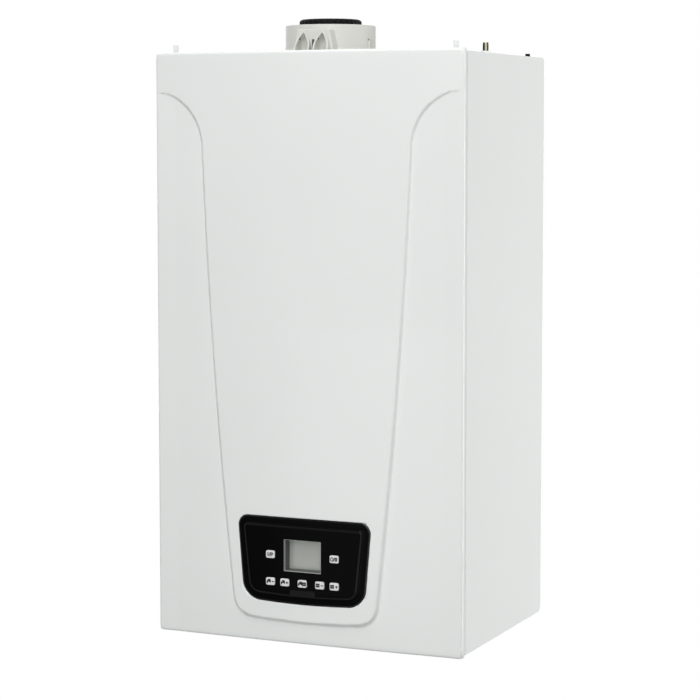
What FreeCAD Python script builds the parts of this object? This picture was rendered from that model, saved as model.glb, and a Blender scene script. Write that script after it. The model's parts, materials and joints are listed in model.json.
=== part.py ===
"""Wall-hung condensing combination boiler, as an assembly of separate pieces. Millimetres.

X runs to the right as seen from the front, +Y into the wall and +Z up. The origin lies on the wall face,
midway between the two hanging slots of the rear frame.
"""
import FreeCAD, Part
import math
import os

from FreeCAD import Vector

# Casing
casing_width = 395.0
casing_height = 700.0
casing_depth = 277.0
hang_drop = 50.0
panel_overhang = 3.0
sheet = 1.0
rear_sheet = 1.5
rear_flange = 15.0
front_flange = 16.0
side_corner_radius = 6.0
fit_gap = 0.3
seam_gap = 1.0
overrun = 2.0
parallel_share = 1e-6
full_turn = 360.0
hex_sides = 6

# Hanging slots in the rear frame
hang_pitch = 300.0
hang_slot_width = 10.0
hang_slot_length = 26.0

# Front panel: bowed sheet with a raised middle
panel_sheet = 1.0
panel_return = 10.0
top_return = 30.0
foot_return = 25.0
flank_bow = 4.0
shield_bow = 8.0
flank_drop = 0.5
hem_radius = 1.6
hook_setback = 19.0
hook_inset = 17.5
hook_width = 6.0
hook_thickness = 2.0
hook_height = 12.0
hook_slot_side = 1.5
hook_slot_front = 5.0
hook_slot_back = 3.0
pad_width = 300.0
pad_low = 200.0
pad_height = 420.0
pad_depth = 7.0

# Outline of the raised middle: shares of half the width and of the height, with the way inwards
shield_shares = {
    "edge": (1.0, 0.9371, -0.31, 0.95),
    "arc_top": (0.9129, 0.9296, -0.31, 0.95),
    "arc_mid": (0.7408, 0.8943, -0.81, 0.59),
    "arc_low": (0.6749, 0.8371, -1.0, 0.05),
    "waist": (0.6046, 0.4929, -1.0, 0.07),
    "waist_low": (0.4937, 0.1429, -1.0, 0.10),
    "corner": (0.4689, 0.0757, -0.97, 0.20),
    "corner_mid": (0.4278, 0.0521, -0.75, 0.66),
    "corner_end": (0.3392, 0.0423, -0.10, 1.0),
    "foot": (0.0, 0.0390, 0.0, 1.0),
}

# Screws that hold the front panel from below, and those of the flue adapter
screw_radius = 2.0
screw_head_radius = 4.0
screw_head_height = 2.6
screw_length = 12.0
screw_clearance = 0.2
panel_screw_pitch = 240.0
panel_screw_setback = 18.0

# Gasket round the front opening
gasket_width = 11.0
gasket_inset = 3.0
gasket_gap = 0.4

# Control box, its cover with the fascia turret, and its hinge
control_width = 300.0
control_low = 28.0
control_height = 130.0
control_room = 202.0
control_wall = 2.5
control_setback = 9.0
fascia_stand = 7.0
fascia_low = 48.0
fascia_height = 103.5
fascia_top_width = 174.0
fascia_foot_width = 157.5
fascia_foot_rise = 3.0
fascia_top_radius = 12.5
fascia_foot_radius = 22.0
fascia_gap = 0.8
face_inset = 9.2
face_rise = 3.8
face_top_radius = 5.0
face_foot_radius = 13.0
tilt_setback = 19.0
tilt_rise = 2.0
tilt_pin_radius = 3.0
tilt_pin_length = 5.0
tilt_ear_radius = 8.0
bracket_sheet = 2.0
bracket_width = 26.0
bracket_rise = 12.0
bracket_foot = 14.0
running_clearance = 0.05

# Display, buttons and service cover on the fascia
display_width = 48.0
display_height = 38.0
display_middle = 107.0
display_depth = 13.8
display_wall = 1.2
display_thickness = 3.0
button_width = 12.6
button_height = 10.1
button_radius = 3.0
button_stand = 1.2
button_flange = 1.2
button_flange_depth = 1.5
button_stem_radius = 2.4
button_gap = 0.3
button_travel = 0.8
button_spare = 0.1
row_height = 74.6
row_outer = 41.4
row_inner = 22.7
board_width = 132.0
board_height = 84.0
board_thickness = 1.6
board_post_radius = 4.0
board_post_share = 3.0
switch_width = 6.0
transformer_width = 46.0
transformer_height = 38.0
transformer_depth = 30.0
cover_width = 33.0
cover_height = 7.6
cover_thickness = 1.6
cover_stand = 0.5
cover_gap = 0.3
cover_rise = 1.5
cover_swing_gap = 1.3
cover_pin_radius = 0.8
cover_pin_length = 1.5
cover_radius = 2.0

# Flue adapter on the top plate, for a pipe in a pipe
flue_x = -30.0
flue_setback = 138.0
adapter_radius = 55.0
adapter_wall = 2.6
adapter_height = 38.0
adapter_flange_radius = 61.5
adapter_flange = 3.5
adapter_skirt = 5.0
inner_socket_radius = 30.3
inner_socket_wall = 3.0
inner_socket_stop = 2.0
inner_socket_drop = 22.0
inner_socket_depth = 34.0
web_thickness = 3.0
web_height = 7.0
web_count = 4
air_hole_radius = 46.0
seal_radius = 38.0
seal_height = 12.0
seal_stand = 7.0
seal_rib_count = 36
seal_rib_width = 2.4
seal_rib_stand = 0.9
port_block_width = 43.0
port_block_stand = 7.0
port_block_height = 31.0
port_width = 17.0
port_pitch = 24.5
port_shift = 5.2
port_depth = 8.0
port_arch = 13.0
arch_lean_share = 0.36
arch_rise_share = 0.62
port_height = 25.0
port_plug_radius = 6.0
port_plug_depth = 5.0
port_plug_height = 12.0
ear_radius = 7.0
ear_pitch_radius = 66.5
ear_count = 4
ear_turn = 45.0
rib_width = 3.0
rib_stand = 3.5
rib_height = 20.0

# Air vent and blanking plug on the top plate
vent_inset = 41.5
vent_setback = 180.0
vent_boss_radius = 6.3
vent_boss_height = 6.0
vent_cap_radius = 3.5
vent_cap_height = 11.0
vent_stem_radius = 2.4
vent_stem_length = 14.0
plug_inset = 13.5
plug_wall_gap = 24.0
plug_radius = 3.0
plug_stand = 4.5
plug_stem_radius = 2.0
plug_stem_length = 5.0

# Expansion vessel
vessel_width = 300.0
vessel_height = 320.0
vessel_depth = 68.0
vessel_low = 338.0
vessel_corner = 45.0
vessel_edge = 14.0
vessel_seam_width = 4.0
vessel_seam_stand = 5.0
vessel_wall = 1.5
vessel_boss_radius = 9.0

# Heat exchanger, lying from left to right
shell_inset = 39.5
shell_right = 38.0
shell_middle = 545.0
shell_gap = 8.0
shell_wall = 3.0
shell_flange = 10.0
shell_mouth_radius = 62.0
collar_height = 16.0
collar_wall = 3.5
port_boss_radius = 13.0
port_boss_drop = 24.0
pipe_radius = 9.0
pipe_wall = 1.0
pipe_bend = 25.0
arm_width = 26.0
arm_sheet = 2.0
arm_gap = 6.0
arm_lug = 16.0
coil_depth = 13.0
coil_turns = 14
coil_groove = 8.0
coil_crest_shares = (0.25, 0.75)
coil_end_gap = 4.0

# Burner and its door
door_thickness = 10.0
door_bore = 22.0
door_nut_count = 6
stud_turn_share = 0.5
door_nut_inset = 9.0
nut_flats = 10.0
nut_height = 5.0
stud_radius = 3.0
stud_length = 14.0
burner_radius = 34.0
burner_wall = 1.5
burner_length = 140.0
electrode_radius = 4.5
electrode_offset = 44.0
electrode_spread = 14.0
electrode_stand = 20.0
electrode_reach = 14.0
electrode_wire = 1.5

# Duct from the fan to the burner, the fan and its motor
duct_width = 56.0
duct_depth = 34.0
duct_wall = 3.0
duct_head = 36.0
duct_foot = 412.0
duct_radius = 8.0
fan_middle = 356.0
fan_radius = 50.0
fan_width = 48.0
fan_wall = 2.5
fan_inlet_radius = 22.0
fan_motor_radius = 33.0
fan_motor_length = 38.0
impeller_gap = 7.0
impeller_width = 18.0
impeller_plate = 2.0
impeller_hub = 11.0
impeller_blades = 12
impeller_side_gap = 8.0
impeller_lean = 25.0
fan_shaft_radius = 4.0
fan_shaft_reach = 24.0

# Gas and air mixer, gas valve and gas pipe
mixer_radius = 29.0
mixer_length = 44.0
mixer_throat = 14.0
mixer_mouth = 25.0
mixer_boss_radius = 12.0
mixer_boss_drop = 10.0
valve_left = -42.0
valve_width = 84.0
valve_depth = 58.0
valve_height = 62.0
valve_radius = 6.0
solenoid_radius = 14.0
solenoid_length = 22.0
solenoid_share = 0.27

# Connections under the casing, left to right: flow, hot water, gas, cold water, return
connection_inset = 62.5
connection_count = 5
connection_setback = 102.0
large_thread_radius = 13.2
small_thread_radius = 10.5
thread_drop = 24.0
thread_rise = 1.0
thread_step = 0.7
hex_low = 8.0
hex_height = 10.0
hex_ratio_share = 2.3
stub_share = 0.78
bore_share = 0.6
manifold_foot = 25.0
grommet_wall = 2.5
grommet_lip = 2.0
grommet_rise = 2.0

# Flow and return manifolds, plate heat exchanger
manifold_radius = 22.0
manifold_top = 215.0
manifold_block_low = 90.0
manifold_block_height = 75.0
manifold_block_reach = 80.0
manifold_block_front = 10.0
plate_front = 50.0
plate_back = 8.0
plate_width = 190.0
plate_count = 12
plate_rim = 3.0
tap_inset = 35.0
tap_setback = 142.0
tap_arm_width = 20.0
tap_boss_radius = 9.0
tap_stem_radius = 4.0
tap_stem_reach = 16.0
tap_knob_radius = 13.0
tap_knob_height = 16.0
tap_knob_drop = 7.0
tap_lobes = 6
tap_lobe_radius = 3.5
diverter_height = 62.0
diverter_boss_radius = 19.0
diverter_boss_reach = 38.0
diverter_bore = 15.0
diverter_seat = 10.0
diverter_disc_radius = 13.0
diverter_disc = 4.0
diverter_travel = 8.0
diverter_motor_width = 44.0
diverter_motor_length = 38.0
diverter_motor_radius = 5.0
spindle_radius = 3.0
spindle_reach = 18.0

# Pump on the return side
pump_height = 175.0
pump_radius = 42.0
pump_width = 46.0
pump_cavity_radius = 33.0
pump_cavity_depth = 20.0
pump_motor_radius = 38.0
pump_motor_length = 50.0
pump_flange = 4.0
pump_impeller_radius = 29.0
pump_impeller_width = 11.0
pump_impeller_gap = 4.0
pump_hub_radius = 7.0
pump_blades = 7
pump_plate = 2.0
pump_shaft_radius = 3.0
pump_shaft_reach = 22.0
pump_outlet_radius = 13.0
pump_outlet_top = 226.0

# Safety valve on the return manifold
safety_height = 58.0
safety_reach = 37.0
safety_arm_radius = 8.0
safety_radius = 12.0
safety_length = 34.0
safety_knob_radius = 14.0
safety_knob_length = 16.0
safety_stem_reach = 12.0

# Pipes and hoses inside
return_straight = 2.5
flow_port_inset = 17.0
flow_jog_top = 400.0
flow_jog_foot = 330.0
gas_jog_low = 110.0
gas_jog_top = 175.0
vessel_pipe_inset = 57.0
vessel_pipe_radius = 5.0
vessel_pipe_bend = 18.0
vessel_pipe_setback = 36.0
vessel_jog_top = 290.0
vessel_jog_foot = 230.0
trap_radius = 24.0
trap_low = 236.0
trap_height = 92.0
trap_neck_radius = 8.0
trap_neck = 12.0
hose_wall = 2.0
hose_bend = 20.0
hose_overlap = 9.0
drain_inset = 49.5
outlet_inset = 25.5
outlet_setback = 150.0
hose_jog_top = 205.0
hose_jog_foot = 165.0
outlet_drop = 24.0
outlet_cuff = 0.75
outlet_cuff_gap = 2.0
gland_inset = 29.5
gland_setback = 165.0
gland_radius = 9.0
gland_bore = 4.0
gland_drop = 12.0
gland_rise = 8.0

# Levels and places that follow from the sizes above
panel_top = hang_drop
foot = panel_top - casing_height
body_top = panel_top - panel_overhang
body_foot = foot + panel_overhang
half_width = casing_width / 2
inner_half = half_width - sheet - fit_gap
front_edge = -casing_depth
return_back = front_edge + panel_return
body_front = return_back + seam_gap
plate_under = body_top - sheet
hook_y = front_edge + hook_setback
hook_x = half_width - hook_inset
hem_y = front_edge + top_return
hem_z = panel_top - panel_sheet / 2
control_front = front_edge + control_setback
control_back = control_front + casing_depth - control_room
fascia_front = front_edge - fascia_stand
fascia_back = fascia_front + control_wall
face_front = fascia_front - face_rise
face_back = face_front + control_wall
screen_front = face_front + display_depth
board_front = screen_front + display_thickness
tilt_y = control_front + tilt_setback - control_setback
tilt_z = foot + control_low + tilt_rise
flue_y = front_edge + flue_setback
adapter_top = body_top + adapter_height
socket_stop_z = adapter_top - inner_socket_depth
vessel_front = -rear_sheet - vessel_depth
shell_back = vessel_front - shell_gap
shell_radius = (shell_back - body_front) / 2
shell_y = (shell_back + body_front) / 2
shell_z = foot + shell_middle
shell_inner = shell_radius - shell_wall
coil_inner = shell_inner - coil_depth
arm_z = foot + vessel_low + vessel_height + arm_gap
door_front = shell_right + door_thickness
shell_left = shell_inset - half_width
fan_y = shell_y - duct_width / 2 + fan_radius
fan_z = foot + fan_middle
duct_foot_z = foot + duct_foot
fan_right = door_front + fan_width
connection_y = -connection_setback
return_x = half_width - connection_inset
flow_x = -return_x
connection_pitch = return_x / 2
tap_offset = return_x - tap_inset
outlet_x = outlet_inset - half_width
drain_x = drain_inset - half_width
gland_x = half_width - gland_inset
flow_port_x = flow_x + flow_port_inset
vessel_pipe_x = return_x - vessel_pipe_inset
block_low = foot + manifold_block_low
block_top = block_low + manifold_block_height
block_front = connection_y - manifold_block_front
pump_front = connection_y - pump_width / 2
pump_z = foot + pump_height
drain_z = shell_z - shell_radius
X_AXIS = Vector(1, 0, 0)
Y_AXIS = Vector(0, 1, 0)
Z_AXIS = Vector(0, 0, 1)


def block(x_low, x_high, y_low, y_high, z_low, z_high):
    """Rectangular solid between two corners."""
    size = Vector(x_high - x_low, y_high - y_low, z_high - z_low)
    return Part.makeBox(size.x, size.y, size.z, Vector(x_low, y_low, z_low))


def rod(radius, start, end):
    """Round bar from one point to another."""
    return Part.makeCylinder(radius, (end - start).Length, start, end - start)


def tube(outer, inner, start, end):
    """Round tube from one point to another."""
    return rod(outer, start, end).cut(rod(inner, start, end))


def hexagon(flats, start, end):
    """Hexagonal bar, given its width across flats."""
    axis = (end - start).normalize()
    across = axis.cross(Vector(axis.y, axis.z, axis.x)).normalize()
    other = axis.cross(across)
    radius = flats / 2 / math.cos(math.pi / hex_sides)
    corners = []
    for index in range(hex_sides + 1):
        turn = math.radians(full_turn * index / hex_sides)
        corners.append(start + across * (radius * math.cos(turn)) + other * (radius * math.sin(turn)))
    return Part.Face(Part.makePolygon(corners)).extrude(end - start)


def rounded(shape, radius, axis):
    """Rounds the straight edges that run along an axis."""
    edges = []
    for edge in shape.Edges:
        way = edge.Vertexes[-1].Point - edge.Vertexes[0].Point
        if way.Length > 0 and way.cross(axis).Length < way.Length * parallel_share:
            edges.append(edge)
    return shape.makeFillet(radius, edges)


def bent_pipe(points, bend, outer, inner):
    """Round tube along straight runs joined by tangent arcs."""
    edges = []
    here = points[0]
    for before, corner, after in zip(points, points[1:], points[2:]):
        come = (corner - before).normalize()
        leave = (after - corner).normalize()
        half_turn = come.getAngle(leave) / 2
        tangent = bend * math.tan(half_turn)
        inward = (leave - come).normalize()
        start = corner - come * tangent
        end = corner + leave * tangent
        middle = corner + inward * (bend / math.cos(half_turn) - bend)
        edges.append(Part.LineSegment(here, start).toShape())
        edges.append(Part.Arc(start, middle, end).toShape())
        here = end
    edges.append(Part.LineSegment(here, points[-1]).toShape())
    path = Part.Wire(edges)
    way = points[1] - points[0]
    solids = []
    for radius in (outer, inner):
        ring = Part.Wire(Part.makeCircle(radius, points[0], way))
        solids.append(path.makePipeShell([ring], True, True))
    return solids[0].cut(solids[1])


def joined(shapes):
    """One solid from shapes that overlap."""
    return shapes[0].fuse(shapes[1:]).removeSplitter()


def flipped(shape):
    """Mirror image across the middle of the boiler."""
    return shape.mirror(Vector(0, 0, 0), X_AXIS)


def bowed_slab(bow, drop, inset):
    """Slab of the front panel whose face is bowed in plan."""
    half = half_width - inset
    edge = front_edge + drop
    radius = (half_width ** 2 + bow ** 2) / (2 * bow)
    centre = Vector(0, edge - bow + radius, foot - overrun)
    face = Part.makeCylinder(radius - inset, casing_height + 2 * overrun, centre, Z_AXIS)
    back = return_back + (overrun if inset else 0)
    return block(-half, half, edge - bow, back, foot + inset, panel_top - inset).common(face)


def shield_prism(inset):
    """Prism over the raised middle of the front panel, drawn in by an inset."""
    spots = {}
    for name, (x_share, z_share, x_way, z_way) in shield_shares.items():
        reach = half_width * x_share + inset * x_way
        height = foot + casing_height * z_share + inset * z_way
        spots[name] = (reach, height)
    y_low = front_edge - shield_bow - overrun

    def spot(name, side):
        return Vector(side * spots[name][0], y_low, spots[name][1])

    edges = []
    for side in (1, -1):
        outer = Vector(side * (half_width + overrun), y_low, spots["edge"][1])
        high = Vector(outer.x, y_low, panel_top + overrun)
        edges.append(Part.LineSegment(high, outer).toShape())
        edges.append(Part.LineSegment(outer, spot("arc_top", side)).toShape())
        for start, middle, end in (("arc_top", "arc_mid", "arc_low"), ("arc_low", "waist", "waist_low")):
            arc = Part.Arc(spot(start, side), spot(middle, side), spot(end, side))
            edges.append(arc.toShape())
        edges.append(Part.LineSegment(spot("waist_low", side), spot("corner", side)).toShape())
        corner = Part.Arc(spot("corner", side), spot("corner_mid", side), spot("corner_end", side))
        edges.append(corner.toShape())
    sole = Part.Arc(spot("corner_end", 1), spot("foot", 1), spot("corner_end", -1))
    edges.append(sole.toShape())
    highs = [Vector(side * (half_width + overrun), y_low, panel_top + overrun) for side in (1, -1)]
    edges.append(Part.LineSegment(highs[0], highs[1]).toShape())
    outline = Part.Wire(Part.__sortEdges__(edges))
    return Part.Face(outline).extrude(Y_AXIS * (casing_depth + shield_bow))


def fascia_prism(grow, y_front, y_back, top_radius, foot_radius):
    """Prism on the outline of the control fascia, grown or shrunk all round."""
    low = foot + fascia_low - grow
    high = foot + fascia_low + fascia_height + grow
    top_half = fascia_top_width / 2 + grow
    foot_half = fascia_foot_width / 2 + grow
    corner_z = low + fascia_foot_rise
    points = [Vector(-top_half, y_front, high), Vector(top_half, y_front, high)]
    points += [Vector(foot_half, y_front, corner_z), Vector(-foot_half, y_front, corner_z)]
    edges = [Part.LineSegment(points[0], points[1]).toShape(),
             Part.LineSegment(points[1], points[2]).toShape()]
    edges.append(Part.Arc(points[2], Vector(0, y_front, low), points[3]).toShape())
    edges.append(Part.LineSegment(points[3], points[0]).toShape())
    solid = Part.Face(Part.Wire(edges)).extrude(Y_AXIS * (y_back - y_front))
    for radius, level in ((top_radius, high), (foot_radius, corner_z)):
        chosen = []
        for edge in solid.Edges:
            ends = [vertex.Point for vertex in edge.Vertexes]
            along = len(ends) == 2 and abs(ends[0].y - ends[1].y) > fit_gap
            if along and abs(ends[0].z - level) < fit_gap and abs(ends[1].z - level) < fit_gap:
                chosen.append(edge)
        solid = solid.makeFillet(radius, chosen)
    return solid


def front_panel():
    """Bowed front with its raised middle, returns, hook slots, screw slots and fascia opening."""
    skins = []
    for inset in (0, panel_sheet):
        flank = bowed_slab(flank_bow, flank_drop, inset)
        raised = bowed_slab(shield_bow, 0, inset).common(shield_prism(inset))
        skins.append(flank.fuse(raised))
    panel = skins[0].cut(skins[1])
    half = half_width - panel_return
    top = block(-half, half, return_back - panel_sheet, hem_y, panel_top - panel_sheet, panel_top)
    sole = block(-half, half, return_back - panel_sheet, front_edge + foot_return, foot, foot + panel_sheet)
    hem = rod(hem_radius, Vector(-half, hem_y, hem_z), Vector(half, hem_y, hem_z))
    panel = panel.fuse([top, sole, hem])
    slot_half = hook_width / 2 + hook_slot_side
    slot_low = hook_y - hook_thickness / 2 - hook_slot_front
    slot_high = hook_y + hook_thickness / 2 + hook_slot_back
    screw_y = front_edge + panel_screw_setback
    slot_radius = screw_radius + screw_clearance * 2
    for side in (-1, 1):
        x = side * hook_x
        panel = panel.cut(block(x - slot_half, x + slot_half, slot_low, slot_high, hem_z - overrun,
                                hem_z + overrun))
        x = side * panel_screw_pitch / 2
        start = Vector(x, screw_y, foot - overrun)
        end = Vector(x, screw_y, foot + overrun)
        back = front_edge + foot_return + overrun
        panel = panel.cut(rod(slot_radius, start, end))
        panel = panel.cut(block(x - slot_radius, x + slot_radius, screw_y, back, foot - overrun,
                                foot + overrun))
    front = front_edge - shield_bow - overrun
    opening = fascia_prism(fascia_gap, front, return_back, fascia_top_radius, fascia_foot_radius)
    return panel.cut(opening).removeSplitter()


def panel_pad():
    """Sound-damping mat on the inside of the front panel."""
    radius = (half_width ** 2 + flank_bow ** 2) / (2 * flank_bow)
    centre = Vector(0, front_edge + flank_drop - flank_bow + radius, foot)
    face = Part.makeCylinder(radius - panel_sheet - fit_gap, casing_height, centre, Z_AXIS)
    back = front_edge + flank_drop + panel_sheet + pad_depth
    low = foot + pad_low
    mat = block(-pad_width / 2, pad_width / 2, front_edge - shield_bow, back, low, low + pad_height)
    return mat.common(face)


def rear_frame():
    """Back tray with the hanging slots and two arms that carry the heat exchanger."""
    low = body_foot + sheet
    high = plate_under
    frame = block(-inner_half, inner_half, -rear_flange, 0, low, high)
    room = inner_half - rear_sheet
    frame = frame.cut(block(-room, room, -rear_flange - overrun, -rear_sheet, low + rear_sheet,
                            high - rear_sheet))
    for x in arm_places():
        reach = shell_y + arm_lug / 2
        frame = frame.fuse(block(x - arm_width / 2, x + arm_width / 2, reach - arm_lug, 0, arm_z,
                                 arm_z + arm_sheet))
    for side in (-1, 1):
        x = side * hang_pitch / 2
        half = (hang_slot_length - hang_slot_width) / 2
        slot_radius = hang_slot_width / 2
        cut = block(x - half, x + half, -rear_flange, overrun, -slot_radius, slot_radius)
        for end in (x - half, x + half):
            cut = cut.fuse(rod(slot_radius, Vector(end, -rear_flange, 0), Vector(end, overrun, 0)))
        frame = frame.cut(cut)
    return frame.removeSplitter()


def arm_places():
    """Where the two arms of the rear frame stand, clear of the flue duct."""
    return (shell_left + arm_width, shell_right - arm_width / 2)


def side_panel(side):
    """Side sheet with a flange turned in at the front."""
    outer = block(inner_half + fit_gap, half_width, body_front, 0, body_foot, body_top)
    flange_left = half_width - front_flange
    flange = block(flange_left, half_width, body_front, body_front + sheet, body_foot, body_top)
    chosen = []
    for edge in outer.Edges:
        ends = [vertex.Point for vertex in edge.Vertexes]
        if abs(ends[0].y) + abs(ends[1].y) < fit_gap and abs(ends[0].z - ends[1].z) < fit_gap:
            chosen.append(edge)
    panel = outer.makeFillet(side_corner_radius, chosen).fuse(flange).removeSplitter()
    return panel if side > 0 else flipped(panel)


def top_plate():
    """Top sheet with its front flange, the two hooks, the vent boss and its holes."""
    half = inner_half
    front = body_front + sheet + fit_gap
    plate = block(-half, half, front, 0, plate_under, body_top)
    inner = half_width - front_flange - fit_gap
    flange = block(-inner, inner, front, front + sheet, body_top - front_flange, body_top)
    boss = rod(vent_boss_radius, vent_point(plate_under), vent_point(body_top + vent_boss_height))
    shapes = [plate, flange, boss]
    for side in (-1, 1):
        x = side * hook_x
        low_y = hook_y - hook_thickness / 2
        shapes.append(block(x - hook_width / 2, x + hook_width / 2, low_y, low_y + hook_thickness,
                            plate_under, body_top + hook_height))
    plate = joined(shapes)
    holes = [rod(air_hole_radius, flue_point(plate_under - overrun), flue_point(body_top + overrun))]
    vent_hole = vent_stem_radius + running_clearance
    holes.append(rod(vent_hole, vent_point(plate_under - overrun),
                     vent_point(body_top + 2 * vent_boss_height)))
    holes.append(rod(plug_stem_radius, plug_point(plate_under - overrun), plug_point(body_top + overrun)))
    for x, y in adapter_ears():
        holes.append(rod(screw_radius, Vector(x, y, plate_under - overrun),
                         Vector(x, y, body_top + overrun)))
    return plate.cut(holes)


def vent_point(z):
    """Point on the axis of the air vent."""
    return Vector(half_width - vent_inset, front_edge + vent_setback, z)


def plug_point(z):
    """Point on the axis of the blanking plug."""
    return Vector(half_width - plug_inset, -plug_wall_gap, z)


def flue_point(z):
    """Point on the axis of the flue."""
    return Vector(flue_x, flue_y, z)


def adapter_ears():
    """Centres of the four screw ears of the flue adapter."""
    places = []
    for index in range(ear_count):
        turn = math.radians(ear_turn + full_turn * index / ear_count)
        places.append((flue_x + ear_pitch_radius * math.cos(turn),
                       flue_y + ear_pitch_radius * math.sin(turn)))
    return places


def bottom_plate():
    """Floor sheet with its front flange and the holes for connections, taps, drain and cable."""
    front = body_front + sheet + fit_gap
    plate = block(-inner_half, inner_half, front, 0, body_foot, body_foot + sheet)
    inner = half_width - front_flange - fit_gap
    flange = block(-inner, inner, front, front + sheet, body_foot, body_foot + front_flange)
    holes = []
    for x, radius in connections():
        holes.append(rod(radius - thread_step + grommet_wall, below(x, connection_y),
                         above(x, connection_y)))
    for side in (-1, 1):
        tap_hole = tap_stem_radius + 2 * fit_gap
        holes.append(rod(tap_hole, below(side * tap_offset, -tap_setback),
                         above(side * tap_offset, -tap_setback)))
        screw_x = side * panel_screw_pitch / 2
        screw_y = front_edge + panel_screw_setback
        holes.append(rod(screw_radius, below(screw_x, screw_y), above(screw_x, screw_y)))
    holes.append(rod(outlet_radius() + fit_gap, below(outlet_x, -outlet_setback),
                     above(outlet_x, -outlet_setback)))
    holes.append(rod(gland_radius, below(gland_x, -gland_setback), above(gland_x, -gland_setback)))
    return plate.fuse(flange).cut(holes).removeSplitter()


def below(x, y):
    """Point just under the floor sheet."""
    return Vector(x, y, body_foot - overrun)


def above(x, y):
    """Point just over the floor sheet."""
    return Vector(x, y, body_foot + sheet + overrun)


def connections():
    """Place and thread radius of the five connections."""
    pairs = []
    middle = connection_count // 2
    for index in range(-middle, middle + 1):
        radius = small_thread_radius if abs(index) == 1 else large_thread_radius
        pairs.append((index * connection_pitch, radius))
    return pairs


def outlet_radius():
    """Outer radius of the condensate hose."""
    return trap_neck_radius + hose_wall


def chamber_gasket():
    """Soft frame between the casing's front flanges and the front panel."""
    half = half_width - gasket_inset
    low = body_foot + gasket_inset
    high = body_top - gasket_inset
    front = front_edge + flank_drop + panel_sheet + gasket_gap
    ring = block(-half, half, front, body_front, low, high)
    hole = block(gasket_width - half, half - gasket_width, front - overrun, body_front + overrun,
                 low + gasket_width, high - gasket_width)
    return ring.cut(hole)


def fasteners():
    """Screws of the front panel and of the flue adapter, and the nuts on the burner door's studs."""
    solids = []
    for side in (-1, 1):
        x = side * panel_screw_pitch / 2
        y = front_edge + panel_screw_setback
        shank = rod(screw_radius, Vector(x, y, foot - screw_head_height), Vector(x, y, foot + screw_length))
        head = rod(screw_head_radius, Vector(x, y, foot - screw_head_height), Vector(x, y, foot))
        solids.append(head.fuse(shank).removeSplitter())
    for x, y in adapter_ears():
        seat = body_top + adapter_flange
        shank = rod(screw_radius, Vector(x, y, seat - screw_length), Vector(x, y, seat))
        head = rod(screw_head_radius, Vector(x, y, seat), Vector(x, y, seat + screw_head_height))
        solids.append(head.fuse(shank).removeSplitter())
    for y, z in door_studs():
        stud = rod(stud_radius, Vector(shell_right - shell_flange / 2, y, z),
                   Vector(door_front + stud_length / 2, y, z))
        nut = hexagon(nut_flats, Vector(door_front, y, z), Vector(door_front + nut_height, y, z))
        solids.append(nut.fuse(stud).removeSplitter())
    return Part.makeCompound(solids)


def door_studs():
    """Places of the studs round the burner door."""
    places = []
    for index in range(door_nut_count):
        turn = 2 * math.pi * (index + stud_turn_share) / door_nut_count
        reach = shell_radius - door_nut_inset
        places.append((shell_y + reach * math.sin(turn), shell_z + reach * math.cos(turn)))
    return places


def hinge_brackets():
    """Two sheet brackets on the floor with the pins that the control box tilts on."""
    solids = []
    for side in (-1, 1):
        inner = control_width / 2 + fit_gap * 2
        outer = inner + bracket_sheet
        low = body_foot + sheet
        y_low = body_front + 2 * (sheet + fit_gap)
        y_high = y_low + bracket_width
        wall = block(inner, outer, y_low, y_high, low, tilt_z + bracket_rise)
        sole = block(inner, inner + bracket_foot, y_low, y_high, low, low + bracket_sheet)
        pin = rod(tilt_pin_radius, Vector(inner - tilt_pin_length, tilt_y, tilt_z),
                  Vector(outer, tilt_y, tilt_z))
        bracket = joined([wall, sole, pin])
        solids.append(bracket if side > 0 else flipped(bracket))
    return Part.makeCompound(solids)


def control_shell():
    """Open tray of the control box, pierced for its hinge pins."""
    half = control_width / 2
    low = foot + control_low
    high = low + control_height
    front = control_front + control_wall
    tray = rounded(block(-half, half, front, control_back, low, high), control_wall, Y_AXIS)
    room = block(control_wall - half, half - control_wall, front - overrun, control_back - control_wall,
                 low + control_wall, high - control_wall)
    tray = tray.cut(room)
    ears = []
    for side in (-1, 1):
        start = Vector(side * (half - tilt_pin_length - control_wall), tilt_y, tilt_z + tilt_ear_radius / 2)
        end = Vector(side * half, tilt_y, tilt_z + tilt_ear_radius / 2)
        ear = rod(tilt_ear_radius, start, end).common(block(-half, half, front, control_back, low, high))
        ears.append(ear)
    tray = tray.fuse(ears)
    hole = tilt_pin_radius + running_clearance
    return tray.cut(rod(hole, Vector(-half, tilt_y, tilt_z), Vector(half, tilt_y, tilt_z))).removeSplitter()


def button_places():
    """Name, place and height of each button, left to right."""
    places = {}
    columns = (-row_outer, -row_inner, 0, row_inner, row_outer)
    for name, x in zip(("water_less", "water_more", "mode", "heating_less", "heating_more"), columns):
        places["button_" + name] = (x, foot + row_height)
    places["button_info"] = (-row_outer, foot + display_middle)
    places["button_power"] = (row_outer, foot + display_middle)
    return places


def cover_low():
    """Lower edge of the service cover, just above the lower edge of the raised face."""
    return foot + fascia_low + face_inset + cover_rise


def cover_axis():
    """Height and depth of the service cover's hinge."""
    return (face_front + face_back) / 2, cover_low() + cover_pin_radius + cover_gap


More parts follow.
